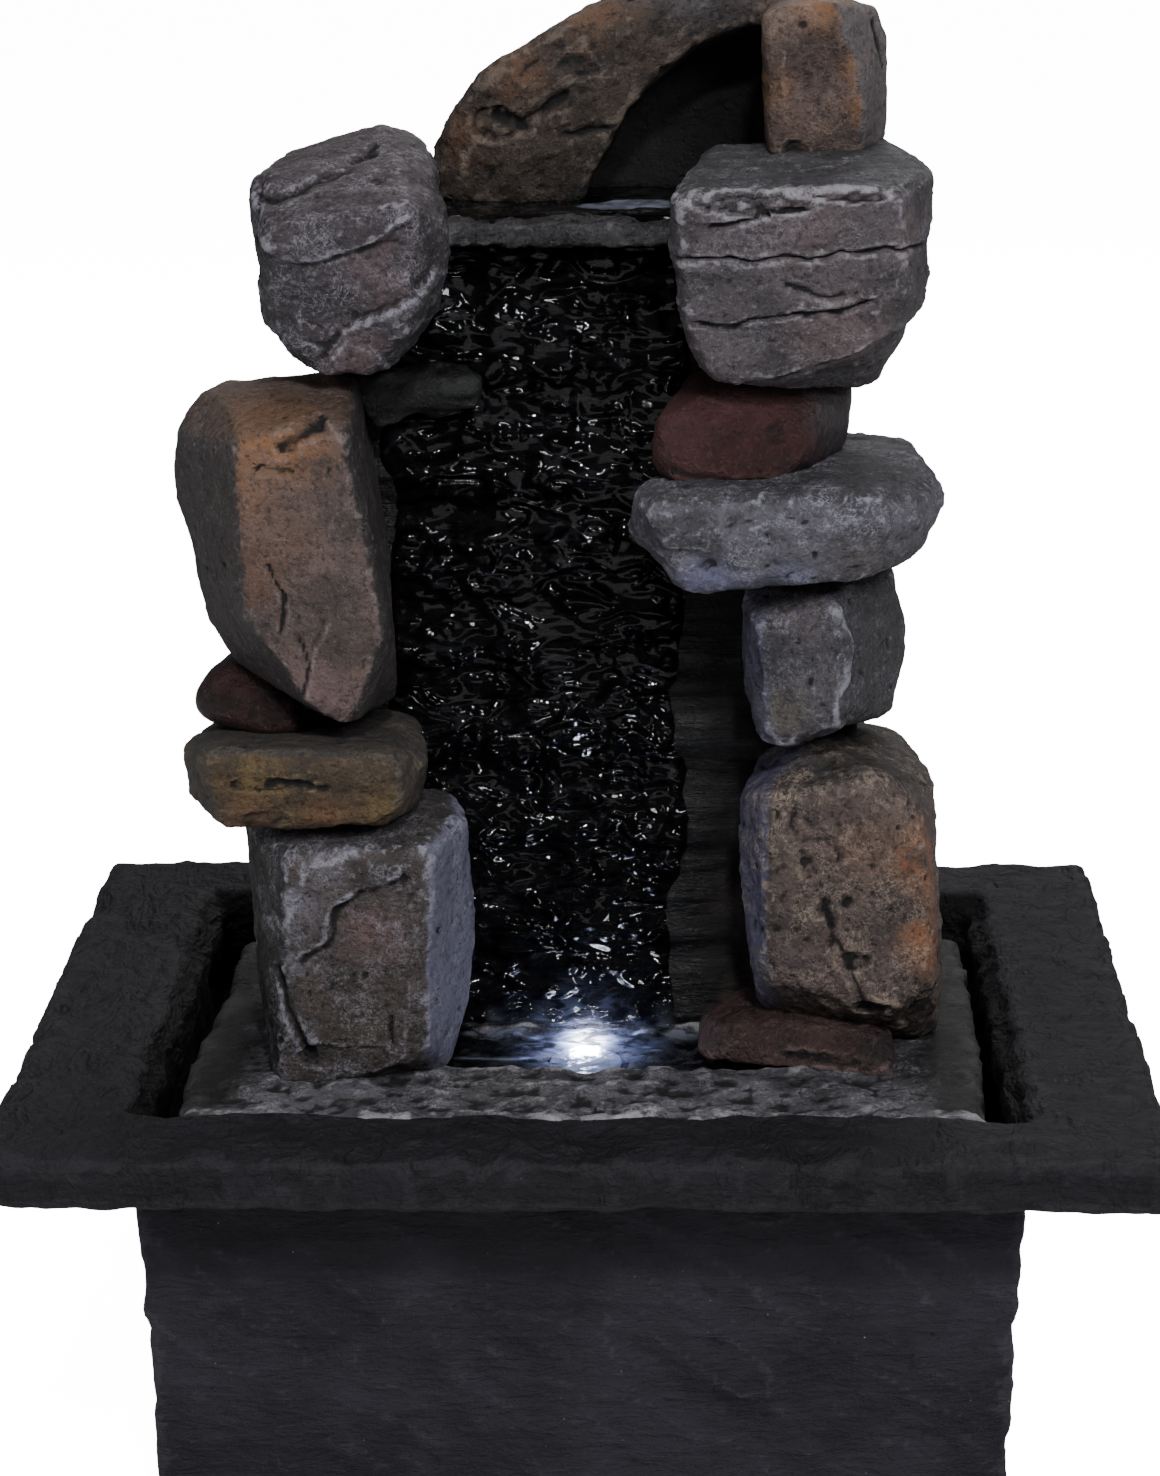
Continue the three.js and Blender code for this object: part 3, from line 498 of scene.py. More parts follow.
def paint_stone(
    c, name, slot, shadow, body, light, washes=(), sides=(),
    brush=0.6, veins=0.3, speckle=0.6, gloss=0.0, seed=0,
):
    """Finishes a stone as cast resin painted by hand: a dark base, a sponged body colour and light colour
    dragged over the crests, with painted shade in the hollows and on faces turned down. washes are (colour,
    (u, w) or (u, w, y in mm), radius in mm, strength), a few of them painted shade and some painted lamp
    light, and sides are (side, colour, strength), painted shade and light by which way a facet faces."""
    shadow, body, light = srgb(*shadow), srgb(*body), srgb(*light)
    s = Shader(name)
    at = s.vector("ADD", s.mm, (seed * 13.0, seed * 7.0, seed * 5.0))
    blotch = s.noise(12, 5, 0.65, at=at)
    colour = s.mix(s.ramp(blotch, 0.36, 0.6), shadow, body)
    tone = s.noise(30, 2, at=at)
    colour = s.mix(s.ramp(tone, 0.3, 0.7, 0.0, 0.35), colour, tuple(0.6 * v for v in body))
    for i, (tint, (u, w, *depth), radius, strength) in enumerate(washes):
        x, z = c.spot(u, w)
        y = depth[0] if depth else c.low[1] + WASH_DEPTH
        sponge = s.ramp(s.noise(5 + i, 4, 0.65, at=at), 0.3, 0.55)
        mask = s.math("MULTIPLY", s.near((x, y, z), radius, 0.75), sponge)
        colour = s.mix(s.math("MULTIPLY", mask, strength), colour, srgb(*tint))
    drift = s.ramp(s.noise(4, 4, 0.7, at=at), 0.25, 0.75, -0.18, 0.18)
    # Painted shade and light by which way each facet faces.
    for side, tint, strength in sides:
        facing, start, full = SIDE_SHADING[side]
        mask = s.ramp(s.math("ADD", s.attribute(facing), drift), start, full, 0.0, strength)
        colour = s.mix(mask, colour, srgb(*tint))
    # Painted shade: surfaces facing down are darkened.
    underside_shade = s.ramp(s.attribute("facing_z"), -0.35, -0.8, 0.0, 0.6)
    colour = s.mix(underside_shade, colour, tuple(0.5 * v for v in shadow))
    edge, grain = s.attribute("edge"), s.attribute("grain")
    fine = s.noise(1.3, 5, 0.8, at=at)
    for size, line, strength in ((3.4, 0.025, 1.0), (1.7, 0.04, 0.8)):
        web = s.math("ABSOLUTE", s.math("SUBTRACT", s.noise(size, 3, 0.6, distortion=1.2, at=at), 0.5))
        patches = s.ramp(s.noise(7, 4, at=at), 0.42, 0.62)
        web = s.math("MULTIPLY", s.ramp(web, 0.0, line, strength, 0.0), patches)
        colour = s.mix(s.math("MULTIPLY", web, veins), colour, light)
    colour = s.mix(s.ramp(fine, 0.38, 0.5, speckle, 0.0), colour, tuple(0.25 * v for v in shadow))
    flecks = s.noise(0.9, 4, 0.8, at=s.vector("ADD", at, (5.0, 3.0, 9.0)))
    colour = s.mix(s.ramp(flecks, 0.54, 0.68, 0.0, 0.28), colour, light)
    crest = s.math("ADD", edge, s.math("MULTIPLY", grain, 0.5))
    crest = s.math("ADD", crest, s.ramp(s.noise(1.8, 5, 0.8, at=at), 0.25, 0.75, -0.55, 0.55))
    colour = s.mix(s.ramp(crest, 0.35, 1.2, 0.0, brush), colour, light)
    # Painted shade: hollows darkened towards black.
    hollow = s.math("ADD", edge, s.math("MULTIPLY", grain, 0.8))
    colour = s.mix(s.ramp(hollow, -0.3, -1.2, 0.0, 0.92), colour, BLACK)
    painted = s.attribute("crest")
    dragged = s.math("MULTIPLY", painted, s.ramp(s.noise(2.0, 5, 0.8, at=at), 0.4, 0.6, 0.1, 1.0))
    colour = s.mix(s.ramp(dragged, 0.05, 0.8, 0.0, 0.85), colour, light)
    # Crest marks below 0 are painted black: painted shade in cracks, under ledges, in pits, in broken patches
    # and in the arch's mouth.
    colour = s.mix(s.ramp(painted, -0.1, -0.8, 0.0, 0.95), colour, BLACK)
    height = s.math("ADD", s.math("MULTIPLY", fine, 0.7), s.noise(3.2, 5, 0.75, distortion=0.5, at=at))
    height = s.math("ADD", height, s.ramp(s.cells(1.5, at=at), 0.0, 0.35, -0.25, 0.0))
    dull = s.ramp(blotch, 0.3, 0.7, 0.5 - gloss, 0.72 - gloss)
    s.surface(Base_Color=colour, Roughness=dull, Normal=s.bump(height, 1.0))
    c.finish(s.material, slot)


ORANGE = (150, 104, 66)
MOUTH = (38, 41)  # the radii over which the arch mouth's painted shade ends


def upper_left_block():
    c = Carving("block_upper_left", soften=5)
    weather(c, 3)
    crack(c, [(0.0, 0.78), (0.2, 0.8), (0.45, 0.88), (0.66, 0.97)], 1.7, 0.6, 0.8, 42)
    crack(c, [(0.05, 0.86), (0.03, 0.6), (0.05, 0.25)], 1.4, 0.5, 0.6, 48)
    ledge(c, [(0.02, 0.66), (0.17, 0.55), (0.4, 0.56), (0.66, 0.63), (0.9, 0.76)], 1.2, 7, 1.0, 43, 0.6)
    ledge(c, [(0.98, 0.56), (0.85, 0.4), (0.68, 0.32), (0.47, 0.27), (0.36, 0.1)], 1.3, 6, 1.1, 44, 0.65)
    ledge(c, [(0.74, 0.02), (0.66, 0.14), (0.5, 0.2), (0.38, 0.08)], 0.8, 3, 0.7, 46)
    stroke(c, [(0.06, 0.72), (0.1, 0.6), (0.28, 0.64), (0.6, 0.72)], 0.5, 0.4, 1.3, 49)
    stroke(c, [(0.3, 0.36), (0.26, 0.2), (0.36, 0.14), (0.4, 0.3)], 0.7, 0.4, 1.6, 41)
    stroke(c, [(0.2, 0.34), (0.34, 0.26), (0.5, 0.34), (0.62, 0.28)], 0.6, 0.35, 1.8, 40)
    flakes(c, 8, 0.6, 47, (1.8, 1, 0.6), slant=15)
    pores(c, 2.2, 0.35, 45, 0.2)
    paint_stone(
        c, "paint_upper_left", "stone_mauve", (42, 39, 42), (76, 68, 73), (168, 164, 176),
        [
            ((108, 88, 92), (0.7, 0.52), 10, 0.75), ((112, 90, 92), (0.55, 0.08), 10, 0.8),
            ((48, 45, 49), (0.2, 0.38), 13, 0.75), ((84, 74, 78), (0.25, 0.7), 10, 0.5),
        ],
        [("left", (50, 47, 51), 0.7), ("right", (52, 48, 50), 0.8), ("top", (66, 56, 60), 0.8)],
        0.75, 0.5, seed=1,
    )


def tall_left_block():
    c = Carving("tall_block_left", soften=5)
    weather(c, 5, 0.5, 0.3)
    crack(c, [(0.46, 0.52), (0.52, 0.42), (0.5, 0.3)], 1.0, 0.45, 1.4, 51, 0.1)
    crack(c, [(0.6, 0.3), (0.64, 0.2), (0.6, 0.1)], 0.6, 0.4, 1.0, 52, 0.3)
    ledge(c, [(0.74, 0.36), (0.66, 0.26), (0.58, 0.08)], 0.6, 5, 0.8, 57)
    crack(c, [(0.54, 0.85), (0.62, 0.89), (0.74, 0.95)], 1.3, 1.2, 1.8, 53)
    crack(c, [(0.42, 0.79), (0.52, 0.81), (0.62, 0.79)], 0.9, 0.6, 1.8, 54, 0.1)
    stroke(c, [(0.34, 0.8), (0.52, 0.84), (0.66, 0.92)], 0.4, 0.5, 1.4, 59)
    flakes(c, 8, 0.4, 58, (0.8, 1, 1.8))
    pores(c, 2.0, 0.35, 56, 0.22)
    dark = (52, 48, 51)
    paint_stone(
        c, "paint_tall_left", "stone_brown", (70, 60, 58), (116, 97, 91), (166, 154, 150),
        [
            (ORANGE, (0.42, 0.93), 15, 0.85), (ORANGE, (0.64, 0.86), 10, 0.7),
            (ORANGE, (0.36, 0.72), 9, 0.6), ((126, 88, 64), (0.38, 0.5), 10, 0.6),
            ((112, 86, 72), (0.52, 0.6), 12, 0.6), ((116, 94, 92), (0.66, 0.12), 10, 0.9),
            ((66, 60, 60), (0.8, 0.42), 7, 0.8), ((70, 64, 64), (0.42, 0.14), 8, 0.8),
        ],
        # The dark left side is partly the paint and partly painted shade.
        [("left", dark, 0.92), ("right", (44, 41, 42), 0.95), ("top", (92, 72, 58), 0.6)],
        0.4, 0.12, seed=2,
    )


def left_pebble():
    c = Carving("pebble_left", 0.6, grow=0.8, soften=24)
    weather(c, 9, 0.4, 0.1, 0.04)
    paint_stone(
        c, "paint_pebble", "stone_red", (30, 17, 17), (60, 32, 32), (88, 56, 54),
        brush=0.15, veins=0.0, speckle=0.15, gloss=0.3, seed=3,
    )


def lower_left_slab():
    c = Carving("slab_lower_left", soften=8)
    weather(c, 11, 0.5, 0.35)
    crack(c, [(0.1, 0.72), (0.3, 0.62), (0.5, 0.66), (0.68, 0.56)], 0.8, 0.5, 1.4, 61, 0.4)
    crumble(c, 0.36, 0.66, 9, 1.6, 0.8, 62)
    crumble(c, 0.33, 0.3, 5, 2.2, 0.7, 65)
    ledge(c, [(0.62, 0.2), (0.8, 0.28), (0.97, 0.5)], 1.0, 4, 0.8, 66)
    flakes(c, 7, 0.5, 63, (2.2, 1, 0.5))
    pores(c, 2.2, 0.4, 64, 0.22)
    yellow, grey = (132, 108, 66), (74, 70, 71)
    paint_stone(
        c, "paint_slab_left", "stone_ochre", (58, 50, 42), (86, 70, 54), (150, 132, 100),
        [
            (yellow, (0.35, 0.68), 9, 0.8), (yellow, (0.12, 0.6), 6, 0.6),
            ((120, 86, 58), (0.62, 0.3), 9, 0.8), ((112, 76, 56), (0.3, 0.3), 8, 0.6),
            (yellow, (0.85, 0.45), 8, 0.7), (grey, (0.0, 0.5), 8, 0.8),
        ],
        [("right", grey, 0.8), ("top", (66, 63, 64), 0.9), ("left", grey, 0.5)], 0.4, 0.25, seed=4,
    )


def lower_left_block():
    c = Carving("block_lower_left", soften=4)
    weather(c, 13, 0.5, 0.4)
    flake = [(0.25, 0.5), (0.4, 0.55), (0.46, 0.7), (0.55, 0.8), (0.68, 0.82), (0.8, 0.87)]
    ledge(c, flake, 1.4, 7, 1.3, 71, 0.4)
    stroke(c, [(0.16, 0.6), (0.3, 0.68), (0.34, 0.86), (0.6, 0.93)], 0.7, 0.9, 1.5, 72)
    stroke(c, [(0.78, 0.9), (0.8, 0.6), (0.76, 0.3), (0.72, 0.1)], 0.4, 0.6, 1.3, 78)
    crack(c, [(0.2, 0.5), (0.25, 0.32), (0.36, 0.1)], 1.4, 0.8, 0.9, 73)
    crack(c, [(0.68, 0.3), (0.7, 0.16)], 0.7, 0.5, 0.8, 76)
    crumble(c, 0.5, 0.12, 9, 3, 0.8, 77)
    flakes(c, 7, 0.45, 74, (0.8, 1, 1.6), slant=-20)
    pores(c, 2.0, 0.4, 75, 0.25)
    white = (132, 128, 140)
    paint_stone(
        c, "paint_lower_left", "stone_grey", (58, 52, 50), (86, 76, 72), (172, 170, 184),
        [
            (white, (0.3, 0.72), 9, 0.85), (white, (0.45, 0.88), 8, 0.8),
            (white, (0.25, 0.5), 6, 0.7), ((116, 92, 90), (0.62, 0.62), 10, 0.8),
            ((78, 70, 58), (0.55, 0.25), 12, 0.8),
        ],
        # The bluish right side is painted light from the lamp below.
        [("left", (46, 42, 42), 0.9), ("top", (58, 54, 54), 0.85), ("right", (116, 116, 142), 0.8)],
        0.75, 0.45, seed=5,
    )


def upper_right_block():
    c = Carving("block_upper_right", grow=0.4, soften=3)
    weather(c, 15, 0.4, 0.35)
    crumble(c, 0.34, 0.88, 10, 2.2, 1.8, 81)
    crumble(c, 0.66, 0.91, 7, 1.2, 1.2, 82)
    crack(c, [(0.12, 0.78), (0.24, 0.79), (0.38, 0.85), (0.56, 0.86)], 1.1, 0.5, 0.8, 88, 0.1)
    crack(c, [(-0.05, 0.65), (0.3, 0.63), (0.55, 0.65), (0.8, 0.68), (1.05, 0.64)], 1.6, 0.42, 0.9, 83, 0.05)
    crack(c, [(0.05, 0.36), (0.25, 0.33), (0.45, 0.4), (0.62, 0.4), (0.8, 0.46)], 1.3, 0.42, 0.9, 84, 0.3)
    crack(c, [(0.42, 0.53), (0.6, 0.48), (0.72, 0.5)], 0.9, 0.6, 0.9, 85, 0.2)
    ledge(c, [(0.2, 0.06), (0.45, 0.12), (0.72, 0.22), (0.95, 0.34)], 1.1, 5, 0.9, 86)
    stroke(c, [(0.0, 0.87), (0.3, 0.91), (0.6, 0.93), (0.9, 0.92)], 0.8, 0.6, 1.0, 80)
    stroke(c, [(0.86, 0.9), (0.88, 0.7), (0.84, 0.45)], 0.5, 0.5, 0.9, 89)
    flakes(c, 9, 0.7, 87, (2.4, 1, 0.55), slant=4)
    pores(c, 2.0, 0.35, 88, 0.2)
    paint_stone(
        c, "paint_upper_right", "stone_mauve", (62, 57, 60), (96, 88, 93), (172, 168, 176),
        [
            ((112, 94, 96), (0.5, 0.78), 12, 0.6), ((112, 92, 92), (0.65, 0.3), 13, 0.6),
            ((78, 74, 80), (0.25, 0.45), 12, 0.6), ((118, 98, 96), (0.9, 0.72), 7, 0.6),
        ],
        [("top", (54, 53, 56), 0.9)], 0.7, 0.3, seed=6,
    )


def top_right_block():
    c = Carving("block_top_right", 0.6, grow=0.4, soften=5)
    weather(c, 17, 0.45, 0.3)
    pit(c, 0.42, 0.5, 6, 1.3, 1.7)
    stroke(c, [(0.16, 0.84), (0.13, 0.5), (0.2, 0.2)], 0.6, 0.5, 0.7, 90)
    stroke(c, [(0.7, 0.85), (0.72, 0.5), (0.68, 0.15)], 0.4, 0.5, 0.7, 95)
    crack(c, [(0.86, 0.9), (0.92, 0.7), (0.97, 0.55)], 1.0, 0.5, 0.7, 92)
    pit(c, 0.3, 0.88, 1.8, 0.8)
    crumble(c, 0.25, 0.1, 3, 2, 0.8, 94)
    pores(c, 2.0, 0.35, 93, 0.2)
    paint_stone(
        c, "paint_top_right", "stone_ochre", (64, 55, 52), (108, 88, 81), (164, 142, 126),
        [
            (ORANGE, (0.45, 0.98), 8, 0.85), (ORANGE, (0.76, 0.62), 6, 0.85),
            (ORANGE, (0.08, 0.5), 6, 0.75), (ORANGE, (0.78, 0.35), 5, 0.7),
            ((110, 92, 90), (0.42, 0.45), 7, 0.8), ((78, 74, 78), (0.6, 0.02), 7, 0.8),
        ],
        [("right", (102, 97, 100), 0.95)], 0.5, 0.4, seed=7,
    )


def right_slab():
    c = Carving("slab_middle_right", grow=0.6, soften=16)
    weather(c, 19, 0.5, 0.3)
    pit(c, 0.43, 0.62, 1.3, 1.3)
    pit(c, 0.25, 0.33, 3.2, 0.9)
    ledge(c, [(0.08, 0.62), (0.4, 0.72), (0.75, 0.78), (0.95, 0.7)], -0.6, 4, 0.9, 101, 0.1)
    clefts(c, 5, 0.4, 103, (1.4, 1, 0.8))
    pores(c, 2.0, 0.3, 102, 0.2)
    paint_stone(
        c, "paint_right_slab", "stone_grey", (68, 66, 72), (104, 101, 110), (182, 181, 196),
        [
            # The bluish washes low on the front are painted light from the lamp below.
            ((100, 92, 88), (0.75, 0.4), 10, 0.5), ((104, 104, 136), (0.25, 0.08), 10, 0.8),
            ((104, 104, 136), (0.5, 0.02), 9, 0.8),
        ],
        [("top", (58, 56, 59), 0.85)], 0.6, 0.5, 0.4, seed=8,
    )


def right_red_stone():
    c = Carving("red_stone_right", 0.65, grow=0.6, soften=12)
    weather(c, 21, 0.6, 0.2)
    crack(c, [(0.05, 0.22), (0.4, 0.1), (0.8, 0.14)], 0.6, 0.7, 0.8, 111, 0.3)
    pit(c, 0.6, 0.62, 3.4, 0.9)
    grey = (62, 61, 64)
    paint_stone(
        c, "paint_red_stone", "stone_red", (42, 22, 22), (70, 36, 36), (140, 100, 96),
        [
            (grey, (1.0, 0.5, c.low[1] + 14), 13, 1.0), (grey, (0.92, 0.75, c.low[1] + 8), 9, 1.0),
            (grey, (0.85, 0.2, c.low[1] + 4), 6, 0.8),
        ],
        brush=0.2, veins=0.15, speckle=0.3, gloss=0.12, seed=9,
    )


def middle_right_block():
    c = Carving("block_middle_right", soften=4)
    weather(c, 23, 0.5, 0.4)
    ledge(c, [(0.6, 0.15), (0.58, 0.4), (0.64, 0.6), (0.57, 0.92)], 1.2, 5, 1.2, 121, 0.6)
    ledge(c, [(0.05, 0.1), (0.3, 0.08), (0.5, 0.1), (0.68, 0.2)], 1.0, 3, 0.6, 124)
    flakes(c, 7, 0.5, 122, (0.8, 1, 1.5))
    pores(c, 2.0, 0.4, 123, 0.25)
    paint_stone(
        c, "paint_middle_right", "stone_grey", (57, 55, 60), (92, 87, 92), (170, 168, 181),
        [
            ((100, 94, 82), (0.25, 0.3), 8, 0.7), ((100, 86, 90), (0.35, 0.8), 8, 0.6),
        ],
        # The bluish left side is painted light from the lamp below.
        [("right", (62, 61, 65), 0.85), ("left", (78, 78, 100), 0.7)], 0.7, 0.35, seed=10,
    )


def lower_right_block():
    c = Carving("block_lower_right", soften=6)
    weather(c, 25, 0.5, 0.4)
    pit(c, 0.5, 0.57, 2.0, 1.2)
    chain = [(0.36, 0.6), (0.42, 0.47), (0.52, 0.36), (0.62, 0.24), (0.72, 0.2)]
    crack(c, chain, 0.9, 1.1, 1.4, 131, 0.25)
    ledge(c, [(0.14, 0.9), (0.3, 0.66), (0.5, 0.44), (0.62, 0.3), (0.86, 0.2)], -0.7, 6, 1.8, 137, 0.25)
    ledge(c, [(0.1, 0.4), (0.3, 0.3), (0.5, 0.12)], 0.6, 5, 1.5, 138, 0.25)
    crumble(c, 0.55, 0.38, 3.5, 2, 0.9, 132)
    crumble(c, 0.62, 0.22, 4, 2, 0.9, 134)
    ledge(c, [(0.85, 0.08), (0.78, 0.16), (0.86, 0.24)], 1.0, 3, 0.6, 135)
    clefts(c, 5, 0.45, 136, (1, 1, 1.2), 40)
    pores(c, 2.0, 0.4, 133, 0.25)
    orange = (160, 104, 66)
    paint_stone(
        c, "paint_lower_right", "stone_brown", (64, 57, 56), (108, 92, 87), (178, 160, 144),
        [
            (orange, (0.9, 0.7), 10, 0.8), (orange, (0.97, 0.45), 11, 0.85),
            ((128, 96, 74), (0.6, 0.75), 11, 0.5), ((98, 84, 86), (0.2, 0.35), 10, 0.8),
            # The two dark washes at the bottom are painted shade.
            ((54, 50, 50), (0.6, 0.04), 11, 0.9),
            ((50, 46, 46), (1.0, 0.05, c.low[1] + 16), 13, 0.9),
        ],
        # The bluish left side is painted light from the lamp below.
        [("top", (60, 56, 56), 0.85), ("left", (84, 84, 112), 0.85)], 0.55, 0.7, seed=11,
    )


def flat_red_stone():
    c = Carving("flat_stone_lower_right", 0.6, grow=0.6, soften=5)
    weather(c, 27, 0.4, 0.35, broad_size=10, rough_size=3)
    crumble(c, 0.62, 0.3, 8, 1.6, 1.2, 141)
    paint_stone(
        c, "paint_flat_stone", "stone_red", (44, 32, 31), (76, 54, 52), (144, 122, 118),
        [((34, 32, 33), (0.97, 0.4), 8, 0.95), ((34, 32, 33), (0.1, 0.2), 6, 0.6)],
        brush=0.5, veins=0.2, gloss=0.2, seed=12,
    )


def arch_stone():
    c = Carving("arch_stone", 0.75, grow=0.4, soften=6)
    weather(c, 29, 0.8, 0.5)
    crack(c, [(0.14, 0.4), (0.22, 0.4), (0.3, 0.47), (0.38, 0.5)], 1.8, 1.2, 1.6, 151, 0.2)
    crack(c, [(0.3, 0.32), (0.42, 0.36), (0.52, 0.33)], 1.2, 0.8, 1.2, 154, 0.2)
    crumble(c, 0.18, 0.38, 6, 3, 1.8, 155)
    crumble(c, 0.36, 0.62, 5, 2.5, 1.2, 156)
    x, z = c.spot(0.85, 0.0)
    mouth = 1 - step(np.hypot(c.points[:, 0] - x, c.points[:, 2] - z), *MOUTH)
    c.crest -= 1.5 * mouth * step(c.points[:, 1], 12, 16)  # painted shade: the mouth's back is painted black
    stroke(c, [(0.07, 0.1), (0.1, 0.3), (0.14, 0.36)], 0.8, 0.9, 1.6, 157)
    flakes(c, 9, 0.9, 152, (1.8, 1, 0.8), slant=35)
    pores(c, 2.2, 0.5, 153, 0.25)
    brown = (112, 80, 58)
    paint_stone(
        c, "paint_arch", "stone_brown", (40, 35, 33), (68, 57, 51), (136, 122, 110),
        [
            (brown, (0.22, 0.58), 9, 0.8), (brown, (0.36, 0.8), 10, 0.8),
            (brown, (0.46, 0.92), 9, 0.7), (brown, (0.08, 0.3), 8, 0.6),
            ((88, 84, 90), (0.66, 1.0), 13, 0.9), ((88, 84, 90), (0.5, 0.97), 8, 0.8),
            # The dark wash low in the middle is painted shade spreading from the mouth.
            ((30, 28, 26), (0.42, 0.1), 13, 0.85),
        ],
        brush=0.5, veins=0.2, seed=13,
    )


def ledge_stone():
    c = Carving("fall_ledge_stone", 0.6, grow=0.4, soften=3)
    weather(c, 31, 1.2, 0.6, broad_size=9, rough_size=3)
    flakes(c, 6, 1.0, 312, (2, 1, 0.5))
    paint_stone(
        c, "paint_ledge", "stone_grey", (14, 14, 15), (28, 28, 29), (66, 68, 68),
        brush=0.3, veins=0.1, gloss=0.2, seed=14,
    )


def lip_stone():
    c = Carving("spill_lip", 0.55, grow=0.3, soften=2)
    weather(c, 33, 0.4, 0.4, broad_size=9, rough_size=3)
    flakes(c, 6, 0.6, 331, (2, 1, 0.6))
    paint_stone(
        c, "paint_lip", "stone_grey", (32, 31, 32), (66, 63, 66), (128, 126, 130),
        brush=0.5, veins=0.1, gloss=0.38, seed=15,
    )


def plinth():
    c = Carving("plinth", 1.1, grow=0.1, soften=2)
    top = step(c.normals()[:, 2], 0.2, 0.7) * step(c.points[:, 2], c.high[2] - 2, c.high[2] - 0.5)
    c.push(top * (0.9 * rough_noise(c.points, 16, 161, 3) + 0.7 * rough_noise(c.points, 5, 162, 3)))
    y, z = c.points[:, 1], c.points[:, 2]
    front = step(y, c.low[1] + 13, c.low[1] + 4) * step(z, c.high[2] - 4, c.high[2] - 1)
    c.push(front * (0.8 - 2.0 * np.abs(rough_noise(c.points, 7, 164, 3))))
    c.crest += 0.85 * front * step(rough_noise(c.points, 4, 165, 3), 0.0, 0.45)
    c.crest -= 0.7 * step(np.abs(c.points[:, 0]), 58, 68)
    weather(c, 35, 0.3, 0.4, broad_size=12)
    clefts(c, 9, 0.4, 163)
    paint_stone(
        c, "paint_plinth", "plinth_grey", (56, 55, 60), (102, 100, 108), (200, 198, 204),
        [
            ((66, 62, 56), (0.4, 1.0, -32), 20, 0.5), ((34, 33, 36), (1.0, 1.0, -20), 34, 0.9),
            ((44, 40, 38), (0.0, 1.0, -30), 26, 0.8),
        ],
        [("left", (28, 26, 27), 0.9), ("right", (30, 29, 32), 0.9)],
        0.5, 0.4, 0.5, seed=16,
    )


# ---- Slate basin and wet rock --------------------------------------------------------------------------


RIM_FOOT = RIM_TOP - 9  # the rim's underside
OPENING = ((-81, -59.5), (81, 64))  # the low and high corner of the rim's opening, in plan
LEAN = 0.035  # the basin's walls lean in by this share of the depth below the rim


def slate_paint():
    """Charcoal slate, with painted shade darkening the rim where more light falls, painted light on the walls
    against the rim's shadow, and painted shade, near black, inside the basin.
    """
    s = Shader("slate")
    strata = s.noise(6, 5, 0.7, (2.4, 2.4, 0.6), 0.4)
    patch = s.noise(24, 4, 0.6)
    colour = s.mix(s.ramp(patch, 0.35, 0.65), srgb(30, 29, 34), srgb(41, 40, 46))
    colour = s.mix(s.ramp(strata, 0.5, 0.72, 0.0, 0.35), colour, srgb(54, 52, 59))
    edge, grain = s.attribute("edge"), s.attribute("grain")
    crest = s.math("ADD", s.math("MULTIPLY", edge, 0.2), s.math("MULTIPLY", grain, 0.8))
    crest = s.math("ADD", crest, s.ramp(s.noise(2.2, 5, 0.75), 0.25, 0.75, -0.4, 0.4))
    colour = s.mix(s.ramp(crest, 0.4, 1.2, 0.0, 0.2), colour, srgb(88, 86, 92))
    # Painted shade in the hollows.
    colour = s.mix(s.ramp(crest, -0.5, -1.2, 0.0, 0.5), colour, BLACK)
    specks = s.math("MULTIPLY", s.ramp(s.cells(2.2), 0.04, 0.09, 1.0, 0.0), s.ramp(s.noise(8, 2), 0.54, 0.7))
    colour = s.mix(s.math("MULTIPLY", specks, 0.7), colour, srgb(150, 148, 150))
    axes = s.node("ShaderNodeSeparateXYZ", Vector=s.mm).outputs
    # Painted shade: the rim is darkened where more light falls on it.
    raised = s.ramp(axes["Z"], RIM_FOOT - 3, RIM_FOOT)
    colour = s.mix(s.math("MULTIPLY", raised, 0.3), colour, srgb(8, 8, 10))
    # Painted light: the walls under the rim are lightened to make up for the rim's shadow.
    walls = s.ramp(axes["Z"], RIM_FOOT - 4, RIM_FOOT - 1, 1.0, 0.0)
    colour = s.mix(walls, colour, (1.43, 1.43, 1.46), "MULTIPLY")
    lean = s.math("MULTIPLY", s.math("SUBTRACT", RIM_TOP, axes["Z"]), LEAN)
    inset = s.math("ADD", lean, s.ramp(axes["Z"], RIM_FOOT - 2, RIM_FOOT, 1.4, -1.2))
    # Painted shade: inside the rim's opening the basin is painted near black.
    inner_shade = s.ramp(axes["Z"], RIM_TOP - 1.4, RIM_TOP - 0.6, 1.0, 0.0)
    for axis, low, high in zip("XY", *OPENING):
        within = s.math("MINIMUM", s.math("SUBTRACT", axes[axis], low), s.math("SUBTRACT", high, axes[axis]))
        inner_shade = s.math("MULTIPLY", inner_shade, s.ramp(s.math("SUBTRACT", within, inset), 0.0, 0.5))
    colour = s.mix(s.math("MULTIPLY", inner_shade, 0.97), colour, srgb(3, 3, 3))
    height = s.math("ADD", strata, s.math("MULTIPLY", s.noise(1.2, 4, 0.75), 0.45))
    chips = s.math("ABSOLUTE", s.math("SUBTRACT", s.noise(8, 3, 0.6, (0.9, 1.6, 1), 0.5), 0.5))
    height = s.math("SUBTRACT", height, s.math("MULTIPLY", s.math("MULTIPLY", chips, raised), 2.5))
    s.surface(
        Base_Color=colour, Roughness=s.ramp(patch, 0.3, 0.7, 0.5, 0.66), Specular_IOR_Level=0.22,
        Normal=s.bump(height, 1.7),
    )
    return s.material


